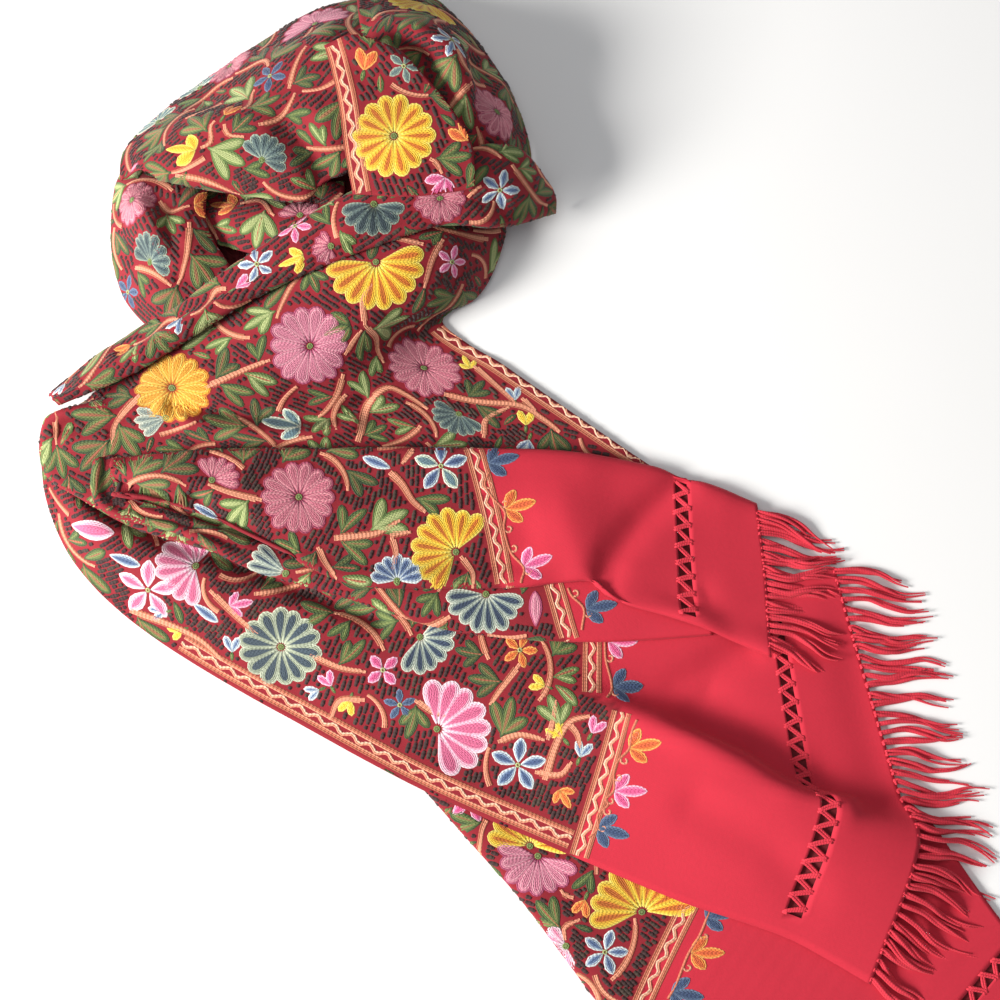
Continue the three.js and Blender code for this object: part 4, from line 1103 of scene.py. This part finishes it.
    def grow_vines(self, flowers):
        """Stems from each flower to its nearest neighbour, bending as they go, with leaves."""
        linked = [0] if flowers else []
        while len(linked) < len(flowers):
            gap, a, b = min((np.linalg.norm(flowers[a][0] - flowers[b][0]), a, b)
                            for a in linked for b in range(len(flowers)) if b not in linked)
            linked.append(b)
            (p, ra), (q, rb) = flowers[a], flowers[b]
            if gap - ra - rb < 8:
                continue
            way = (q - p) / gap
            side = np.array([-way[1], way[0]]) * self.chance.choice((-1, 1)) * gap * 0.16
            course = through([p, p + (q - p) * 0.33 + side, p + (q - p) * 0.66 - side * 0.6, q])
            points = course(np.linspace(0, 1, max(8, int(gap / 3))))
            points = [x for x in points if self.free(x) and self.reads(self.cloth, x)[0]]
            if len(points) > 3:
                points = np.array(points)
                if np.linalg.norm(np.diff(points, axis=0), axis=1).max() < 12:
                    self.stem(points)
                    self.dress(points)

    def dress(self, points):
        """Leaves on both sides of a stem."""
        step, k = np.linalg.norm(np.diff(points, axis=0), axis=1).mean(), 1
        while k < len(points) - 1:
            way = points[min(k + 1, len(points) - 1)] - points[k - 1]
            base = math.atan2(way[1], way[0])
            for hand in self.chance.sample((-1, 1), 2):
                angle = base + hand * self.chance.uniform(0.45, 1.1)
                root = points[k] + 2.2 * toward(base + hand * 1.57)
                self.one_leaf(root, angle, (34, 27, 21, 16, 12))
            k += max(1, int(self.chance.uniform(5, 11) / max(step, 0.5)))

    def one_leaf(self, at, angle, sizes):
        """The largest leaf that fits, with lobes where there is room."""
        shades = self.chance.choice((LEAF, LEAF, FERN, FRESH))
        for long, broad in ((29, 0.80), (24, 0.80), (20, 0.76), (24, 0.5), (19, 0.5)):
            fits = long <= sizes[0] + 3 and self.blade_is_free(at, angle, long, long * broad, near=0.4)
            if fits and self.chance.random() < 0.85:
                self.leaf(at, angle, long, shades, 3 if broad > 0.6 else 2)
                return
        for long in sizes:
            if self.blade_is_free(at, angle, long, min(10.5, long * 0.38)):
                self.leaf(at, angle, long, shades)
                return

    def branch(self, at, angle, long):
        """A bending stem that carries leaves, and a small flower or a leaf at its tip."""
        bend = self.chance.choice((-1, 1)) * self.chance.uniform(0.2, 1.0)
        turn = angle + bend * np.linspace(-0.5, 1.0, 11)
        way = at + np.cumsum(np.stack([np.cos(turn), np.sin(turn)], 1), axis=0) * long / 11
        if not self.free(way) or not self.reads(self.cloth, way).all():
            return
        self.stem(way, 4 if long > 30 else 3)
        pick = self.chance.random()
        size = self.chance.uniform(12, 17)
        if pick < 0.55 and self.blade_is_free(way[-1], turn[-1], size, size * 0.8):
            if pick < 0.2:
                shades = self.chance.choice((CANDY, YELLOW, SKY, ORANGE, PINK, BLUE))
                self.tulip(way[-1], turn[-1], size, shades)
            elif pick < 0.42:
                self.heart(way[-1], turn[-1], size * 0.85, self.chance.choice((YELLOW, SKY, CANDY, ORANGE)))
            else:
                self.blossom(way[-1] + size * 0.5 * toward(turn[-1]), size * 1.3,
                             self.chance.choice((CANDY, SKY, YELLOW, PINK)), start=turn[-1])
        else:
            self.one_leaf(way[-1], turn[-1], (26, 20, 15, 11))
        self.dress(way)

    def fill(self, tries):
        """Branches, and then single leaves, wherever the cloth is still bare."""
        a, b = self.corner, self.corner + np.array(self.cloth.shape)
        for n in range(tries):
            at = np.array([self.chance.uniform(a[0], b[0]), self.chance.uniform(a[1], b[1])])
            if not self.reads(self.cloth, at)[0] or not self.free(at):
                continue
            angle = self.chance.uniform(0, 2 * math.pi)
            if n < tries * 0.5:
                self.branch(at, angle, (52, 40, 30)[int(6 * n / tries)])
            elif self.chance.random() < 0.6:
                self.one_leaf(at, angle, (26, 20) if n < tries * 0.8 else (16, 12))

    def ground(self, lean=0.0):
        """Short dark stitches that fill what red is left, in wavering courses like bricks."""
        a, b = self.corner, self.corner + np.array(self.cloth.shape)
        middle, reach = (a + b) / 2, np.linalg.norm(b - a) / 2
        phase = self.chance.uniform(0, 6.28)
        for course, v in enumerate(np.arange(-reach, reach, 3.5)):
            for u in np.arange(-reach + 4.1 * (course % 2) + self.chance.uniform(-1, 1), reach, 8.2):
                x = u + np.linspace(0.0, 7.2, 7)
                y = v + 9 * np.sin(x / 34 + phase) + 7 * np.sin(x / 61 + v / 40)
                line = turned(np.stack([x + 8 * math.sin(v / 37 + phase), y], 1), lean, middle)
                line = line + self.chance.uniform(-0.4, 0.4)
                bare = self.reads(self.cloth, line) & ~self.reads(self.taken, line)
                starts = [k for k in range(7) if bare[k] and not (k and bare[k - 1])]
                runs = [next((e for e in range(k, 7) if not bare[e]), 7) - k for k in starts]
                # the longest bare part of the stitch, so that short ones fill the corners
                if runs and max(runs) > 2:
                    first = starts[int(np.argmax(runs))]
                    kept = line[np.linspace(first, first + max(runs) - 1, 3).round().astype(int)]
                    dark_wool = SOOT if self.chance.random() < 0.75 else MOSS
                    self.row(kept, dark_wool, (2.0, 2.6, 2.0), claim=0, lift=-0.22)

    def edge_of(self, first, rows=slice(None), inset=1.5):
        """The first or last edge of the stretch, on the flat cloth, moved in by inset."""
        edge = self.stretch.flat[rows, 0 if first else -1]
        inner = self.stretch.flat[rows, 3 if first else -4]
        way = inner - edge
        return edge + way / np.linalg.norm(way, axis=1, keepdims=True) * inset

    @property
    def field(self):
        """The cloth that is embroidered, with a little over at its rim."""
        board = self.cloth.copy()
        for _ in range(3):
            board[1:] |= board[:-1]
            board[:-1] |= board[1:]
            board[:, 1:] |= board[:, :-1]
            board[:, :-1] |= board[:, 1:]
        return board

    def beyond(self, line, hand):
        """No stitching on the far side of a line: to its left if hand is 1."""
        grid = np.indices(self.taken.shape).reshape(2, -1).T + self.corner + 0.5
        nearest, side = np.full(len(grid), 1e9), np.zeros(len(grid))
        for a, b in zip(line[:-1], line[1:]):
            way, to = b - a, grid - a
            t = np.clip(to @ way / (way @ way), 0, 1)
            away = np.linalg.norm(to - t[:, None] * way, axis=1)
            near = away < nearest
            nearest[near] = away[near]
            side[near] = (way[0] * to[:, 1] - way[1] * to[:, 0])[near]
        far = (side * hand > 0).reshape(self.taken.shape)
        self.cloth &= ~far
        self.taken |= far

    def sew(self, name):
        """Lays every row over the folds of the stretch, as one piece."""
        target = bpy.data.meshes.new("spread")
        grid = self.stretch.top
        n, m = grid.shape[:2]
        number = np.arange(n * m).reshape(n, m)
        faces = np.stack(cell_corners(number), -1).reshape(-1, 4)
        target.from_pydata(self.stretch.place(grid).reshape(-1, 3).tolist(), [], faces.tolist())
        flat = np.dstack([self.stretch.flat / 1000, np.zeros((n, m))])
        for key, values in (("flat", flat), ("up", self.stretch.up)):
            target.attributes.new(key, "FLOAT_VECTOR", "POINT").data.foreach_set("vector", values.ravel())
        spread = bpy.data.objects.new("spread", target)
        bpy.context.scene.collection.objects.link(spread)
        piece = grow(name, self.rows, stitched, {
            "Cloth": spread, "Row width": ROW_WIDE, "Row height": ROW_HIGH, "Sunk": ROW_SUNK, "Wool": crewel})
        bpy.data.objects.remove(spread)
        bpy.data.meshes.remove(target)
        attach(piece, "root")


# What is stitched where: [kind, across, down, size, direction in degrees, wool, ...] for each stretch,
# with places as points of a 1000 by 1000 picture taken by the camera above and sizes in millimetres
FLOWERS = {
    "body": [
        ["daisy", 310, 346, 58, 0, PINK], ["daisy", 424, 368, 52, 0, ROSE], ["daisy", 172, 388, 52, 0, GOLD],
        ["fan", 376, 262, 66, 278, YELLOW, 205], ["fan", 459, 414, 38, 235, SLATE, 190],
        ["tulip", 470, 368, 12, 118, YELLOW], ["heart", 515, 400, 11, 100, SKY],
        ["heart", 526, 425, 12, 90, YELLOW],
        ["heart", 529, 440, 12, 250, SKY], ["tulip", 350, 325, 22, 200, LEAF],
        ["fan", 166, 418, 40, 190, SILVER, 80], ["tulip", 300, 427, 26, 170, CREAM],
        ["blossom", 452, 262, 22, 0, CANDY]],
    "top_end": [
        ["daisy", 299, 497, 52, 0, ROSE], ["fan", 456, 552, 62, 146, YELLOW, 205],
        ["blossom", 441, 466, 36, 90, SKY, 5, CREAM],
        ["fan", 397, 581, 38, 90, SKY, 180], ["bud", 390, 468, 20, 158, SKY],
        ["fan", 212, 480, 38, 50, ROSE, 150], ["bud", 194, 505, 18, 322, SKY]],
    "inner_pleat": [["fan", 486, 594, 54, 265, SILVER, 185], ["bud", 536, 626, 24, 92, PINK],
                    ["fan", 286, 573, 54, 158, SILVER, 70]],
    "front_end": [
        ["fan", 196, 566, 56, 170, PALE, 215], ["blossom", 148, 590, 42, 90, PALE],
        ["daisy", 281, 647, 56, 15, SAGE],
        ["blossom", 383, 670, 24, 40, CANDY, 4], ["blossom", 400, 705, 21, 20, BLUE],
        ["fan", 420, 637, 50, 318, SILVER, 170],
        ["fan", 437, 729, 70, 12, PALE, 190], ["blossom", 518, 765, 36, 10, SKY, 5],
        ["blossom", 520, 650, 24, 70, ORANGE],
        ["heart", 331, 686, 11, 120, CANDY], ["heart", 592, 733, 12, 60, CANDY],
        ["heart", 350, 700, 11, 250, YELLOW],
        ["heart", 563, 738, 13, 130, YELLOW], ["heart", 319, 690, 10, 200, SKY],
        ["heart", 580, 757, 12, 70, SKY],
        ["heart", 545, 686, 11, 160, YELLOW], ["heart", 182, 630, 10, 200, YELLOW],
        ["tulip", 230, 606, 16, 10, CANDY],
        ["bud", 110, 555, 22, 338, SKY], ["bud", 72, 525, 34, 338, PALE], ["bud", 194, 604, 20, 322, SKY],
        ["heart", 164, 612, 11, 190, SKY],
        ["heart", 232, 652, 12, 90, SKY], ["tulip", 560, 790, 14, 300, ORANGE]],
    "under_end": [
        ["fan", 642, 912, 70, 100, YELLOW, 205], ["fan", 538, 856, 54, 255, PINK, 190],
        ["fan", 530, 846, 58, 90, YELLOW, 190],
        ["blossom", 605, 952, 30, 0, SKY], ["heart", 585, 900, 12, 250, ORANGE],
        ["blossom", 470, 800, 30, 0, CANDY],
        ["fan", 566, 946, 34, 200, PALE, 180]],
    "cross_band": [
        ["fan", 374, 204, 46, 270, SLATE, 180], ["blossom", 295, 226, 24, 0, CANDY],
        ["blossom", 257, 264, 26, 40, SKY],
        ["heart", 236, 288, 12, 30, CANDY], ["tulip", 303, 256, 18, 200, YELLOW],
        ["fan", 331, 246, 28, 200, ROSE, 180],
        ["heart", 182, 318, 13, 220, SKY], ["daisy", 440, 198, 36, 0, ROSE],
        ["blossom", 500, 190, 28, 0, SKY],
        ["heart", 130, 345, 12, 220, ORANGE]],
    "left_rim": [["daisy", 132, 200, 38, 0, ROSE], ["fan", 150, 262, 40, 80, SLATE, 200],
                 ["blossom", 128, 292, 24, 0, BLUE],
                 ["tulip", 195, 205, 20, 0, ORANGE]],
    "inner_roll": [["tulip", 235, 205, 20, 180, ORANGE], ["fan", 300, 215, 30, 90, ROSE, 180]],
    "dome": [
        ["tulip", 195, 150, 24, 170, YELLOW], ["fan", 158, 122, 36, 120, CREAM, 160],
        ["fan", 200, 88, 36, 120, CREAM, 170],
        ["daisy", 230, 66, 38, 0, ROSE], ["blossom", 270, 76, 26, 0, BLUE],
        ["fan", 315, 24, 52, 80, PINK, 220],
        ["fan", 262, 160, 36, 60, SLATE, 180], ["heart", 225, 115, 13, 45, ORANGE]],
    "crown": [["fan", 425, 4, 54, 270, YELLOW, 190], ["daisy", 497, 112, 40, 0, ROSE],
              ["blossom", 452, 40, 26, 0, SKY]],
    "corner_flap": [["daisy", 394, 136, 56, 0, YELLOW], ["tulip", 466, 140, 20, 100, ORANGE],
                    ["blossom", 404, 66, 22, 70, SLATE],
                    ["heart", 364, 70, 15, 80, ORANGE], ["tulip", 445, 178, 20, 240, CANDY]],
}
STEMS = {
    "body": [
        [(365, 325), (377, 342), (384, 363)], [(365, 325), (363, 300), (372, 284)],
        [(375, 323), (413, 321), (444, 319)],
        [(358, 442), (367, 407), (386, 388), (405, 394), (428, 409)],
        [(444, 394), (474, 401), (518, 405), (543, 419), (560, 432)],
        [(474, 366), (490, 380), (518, 405)], [(484, 438), (487, 419), (509, 407)], [(522, 398), (537, 413)],
        [(345, 355), (362, 330)], [(205, 388), (240, 372), (270, 360)], [(140, 395), (118, 420), (112, 445)]],
    "top_end": [
        [(334, 538), (367, 535), (382, 531), (400, 520)], [(390, 535), (411, 532)],
        [(392, 537), (396, 554), (392, 572)],
        [(390, 472), (402, 484), (413, 501), (426, 512)], [(402, 445), (401, 468), (405, 482)],
        [(413, 449), (402, 464)],
        [(461, 556), (472, 572), (473, 588)], [(318, 547), (325, 562), (337, 579)],
        [(262, 500), (230, 492), (208, 484)]],
    "front_end": [
        [(545, 780), (556, 745), (570, 722), (590, 716)], [(548, 740), (553, 722), (556, 700)],
        [(567, 722), (577, 734), (580, 748)],
        [(498, 742), (520, 735), (545, 740)], [(210, 590), (240, 620), (258, 634)],
        [(310, 655), (340, 668), (366, 672)],
        [(365, 700), (340, 700), (330, 720)], [(415, 700), (432, 712), (445, 716)],
        [(130, 610), (170, 625), (200, 640), (222, 660)],
        [(520, 664), (500, 690), (490, 705)], [(535, 772), (560, 775), (572, 762)]],
}
BORDERS = {  # the inner stripe of each end border, as strokes between points of the picture
    "top_end": [[(461, 447), (486, 532), (494, 583)]], "inner_pleat": [[(546, 590), (558, 632)]],
    "front_end": [[(584, 640), (583, 692)], [(613, 710), (577, 832)]],
    "under_end": [[(686, 890), (640, 985)]],
}
# borders along a selvedge: whether it is the first edge, from which share of it to which, and how far in
SELVEDGES = {
    "body": [(False, 0.32, 1.0, 11.8)], "front_end": [(False, 0.27, 1.0, 16.5)],
    "corner_flap": [(True, 0.0, 1.0, 13.0)],
}
# the direction in which the ground stitches run
COURSES = {"body": 0.45, "top_end": 1.4, "front_end": 1.25, "inner_pleat": 1.3, "dome": 0.2, "crown": 0.9}
SPRIGS = {  # the thin vine beyond each end border, and its sprigs
    "top_end": [([(486, 447), (489, 472), (485, 485), (493, 498), (505, 512), (504, 527), (507, 542),
                  (512, 554), (524, 568), (521, 583)],
                 [(489, 463, 15, BLUE), (506, 509, 15, ORANGE), (524, 567, 20, CANDY)])],
    "inner_pleat": [([(568, 588), (572, 596), (584, 609), (582, 630)], [(587, 609, 10, BLUE)])],
    "front_end": [([(605, 640), (606, 660), (612, 687), (607, 698)], []),
                  ([(637, 720), (632, 732), (629, 749), (618, 761), (614, 774), (614, 790), (606, 799),
                    (608, 805), (598, 815), (598, 828), (589, 838)],
                   [(609, 641, 0, CANDY), (614, 687, 0, BLUE), (630, 748, 10, ORANGE), (615, 791, 0, CANDY),
                    (599, 828, 345, BLUE)])],
    "under_end": [([(712, 905), (700, 935), (688, 955), (676, 985), (668, 999)],
                   [(706, 917, 10, BLUE), (692, 953, 0, ORANGE), (672, 992, 350, BLUE)])],
}
for name, rows in FLOWERS.items():
    stretch = stretches[name]
    work = Needlework(stretch, 5 + list(NETS).index(name))

    def spot(px, py):
        return stretch.flat_at(px, py)

    def heading(px, py, degrees):
        angle = math.radians(degrees)
        a, b = spot(px, py), spot(px + 3 * math.cos(angle), py - 3 * math.sin(angle))
        return angle if a is None or b is None else math.atan2(*(b - a)[::-1])

    # borders first: nothing else is stitched over them or beyond them
    strokes = [np.array([stretch.flat_near(*place) for place in stroke]) for stroke in BORDERS.get(name, ())]
    if strokes:
        line = np.concatenate(strokes)
        line[0] += (line[0] - line[1]) / np.linalg.norm(line[0] - line[1]) * 60
        line[-1] += (line[-1] - line[-2]) / np.linalg.norm(line[-1] - line[-2]) * 60
        inland = stretch.flat[stretch.flat.shape[0] // 3, stretch.flat.shape[1] // 2]
        way, to = line[-1] - line[0], inland - line[0]
        hand = -1 if way[0] * to[1] - way[1] * to[0] > 0 else 1
        for k, stroke in enumerate(strokes):
            first = line[0] if k == 0 else stroke[0]
            last = line[-1] if k == len(strokes) - 1 else stroke[-1]
            run = np.array([first, *stroke[1:-1], last])
            share = np.linspace(0, 1, 80)
            run = through(run)(share) if len(run) > 2 else first + (last - first) * share[:, None]
            work.border(run[work.reads(work.cloth, run)], hand)
        work.beyond(line, hand)
    for first_edge, start, end, inset in SELVEDGES.get(name, ()):
        n = len(stretch.flat)
        rows_of = slice(int(start * n), max(2, int(end * n)))
        way = work.edge_of(first_edge, rows_of, inset)
        out_way = work.edge_of(first_edge, rows_of, 0) - way
        kept = work.reads(work.cloth, way)
        way, out_way = way[kept], out_way[kept]
        side = np.gradient(way, axis=0)
        hand = 1 if (side[:, 0] * out_way[:, 1] - side[:, 1] * out_way[:, 0]).sum() > 0 else -1
        work.border(way, hand)
    for way, sprigs in SPRIGS.get(name, ()):
        points = [p for p in (spot(*p) for p in way) if p is not None]
        way = through(np.array(points))(np.linspace(0, 1, 10 * len(points)))
        work.stem(way, 1, (COPPER,), claim=0, width=1.35)
        for px, py, degrees, wool_run in sprigs:
            work.tulip(stretch.flat_near(px, py), heading(px, py, degrees), 21, wool_run)
        for k in range(12, len(way) - 4, 17):
            lean = math.atan2(*(way[k + 1] - way[k])[::-1])
            work.curl(way[k], lean, 3.2, 1)
    flowers = []
    for kind, px, py, size, degrees, wool_run, *more in rows:
        at_flat = spot(px, py)
        if at_flat is None:
            continue
        angle = heading(px, py, degrees)
        if kind == "daisy":
            work.daisy(at_flat, size, wool_run, petals=14 if size > 45 else 11, start=angle)
        elif kind == "fan":
            sweep = math.radians(more[0])
            work.daisy(at_flat, size, wool_run, petals=15, start=angle - sweep / 2, sweep=sweep)
        elif kind == "blossom":
            petals, second = (*more, *(5, None)[len(more):])
            work.blossom(at_flat, size, wool_run, petals=petals, start=angle, second=second)
        elif kind == "bud":
            work.blade(at_flat, angle, size, size * 0.4, wool_run, blunt=1.2, full=0.7)
        elif kind == "heart":
            work.heart(at_flat, angle, size, wool_run)
        else:
            work.tulip(at_flat, angle, size, wool_run)
        flowers.append((at_flat, size * (0.5 if kind in ("daisy", "fan", "blossom") else 0.25)))
    for way in STEMS.get(name, ()):
        points = [spot(*p) for p in way]
        if all(p is not None for p in points):
            way = through(np.array(points))(np.linspace(0, 1, 4 * len(points)))
            work.stem(way, 4 if len(points) < 4 else 5, (BARK, STEM, STEM, STEM, BARK))
            work.dress(way)
    if name not in STEMS:
        work.grow_vines(flowers)
    work.fill(int(work.cloth.sum() / 6))
    work.ground(COURSES.get(name, 0.3))
    work.sew(name + "_embroidery")
    # the ground between the stitches is given a darker crimson than the plain ends: painted shade cast by the
    # stitches around it
    mesh = cloths[name].data
    places = np.zeros(2 * len(mesh.loops), np.float32)
    mesh.uv_layers["flat"].data.foreach_get("uv", places)
    painted_field_shade = work.reads(work.field, places.reshape(-1, 2) * 1000)
    mesh.attributes.new("painted_field_shade", "FLOAT", "CORNER").data.foreach_set("value", painted_field_shade.astype(np.float32))


# ---- Laid together -----------------------------------------------------------------------------
# The stretches are one shawl of 1 by 2 metres, and each shows only the part of it that lies on top.
# Every one rests on the layers under it, and carries its needlework, its drawn-thread band and its fringe.
SHOWN = {  # what shows of each stretch, spread flat: width, length and area, and what it lies on
    "under_end": (0.27, 0.425, 0.0765, ["fan_core"]),
    "front_end": (0.30, 0.72, 0.095, ["under_end", "fan_core"]),
    "inner_roll": (0.075, 0.14, 0.0078, ["bundle_core"]), "left_rim": (0.11, 0.145, 0.0118, ["bundle_core"]),
    "body": (0.375, 0.36, 0.070, ["fan_core", "bundle_core"]),
    "inner_pleat": (0.075, 0.48, 0.0175, ["front_end", "body"]),
    "top_end": (0.12, 0.48, 0.0425, ["front_end", "body", "inner_pleat"]),
    "dome": (0.185, 0.265, 0.0297, ["bundle_core"]),
    "crown": (0.15, 0.24, 0.0227, ["bundle_core"]),
    "cross_band": (0.08, 0.44, 0.0222, ["body", "bundle_core"]),
    "corner_flap": (0.09, 0.12, 0.0083, ["crown", "dome"]),
}
for name, (wide, long, area, under) in SHOWN.items():
    on_it = [bpy.data.objects[name + "_embroidery"]]
    if name in BANDS:
        on_it += [bpy.data.objects[name + part] for part in ("_drawn_threads", "_layer_beneath")]
        on_it.append(fringes[name])
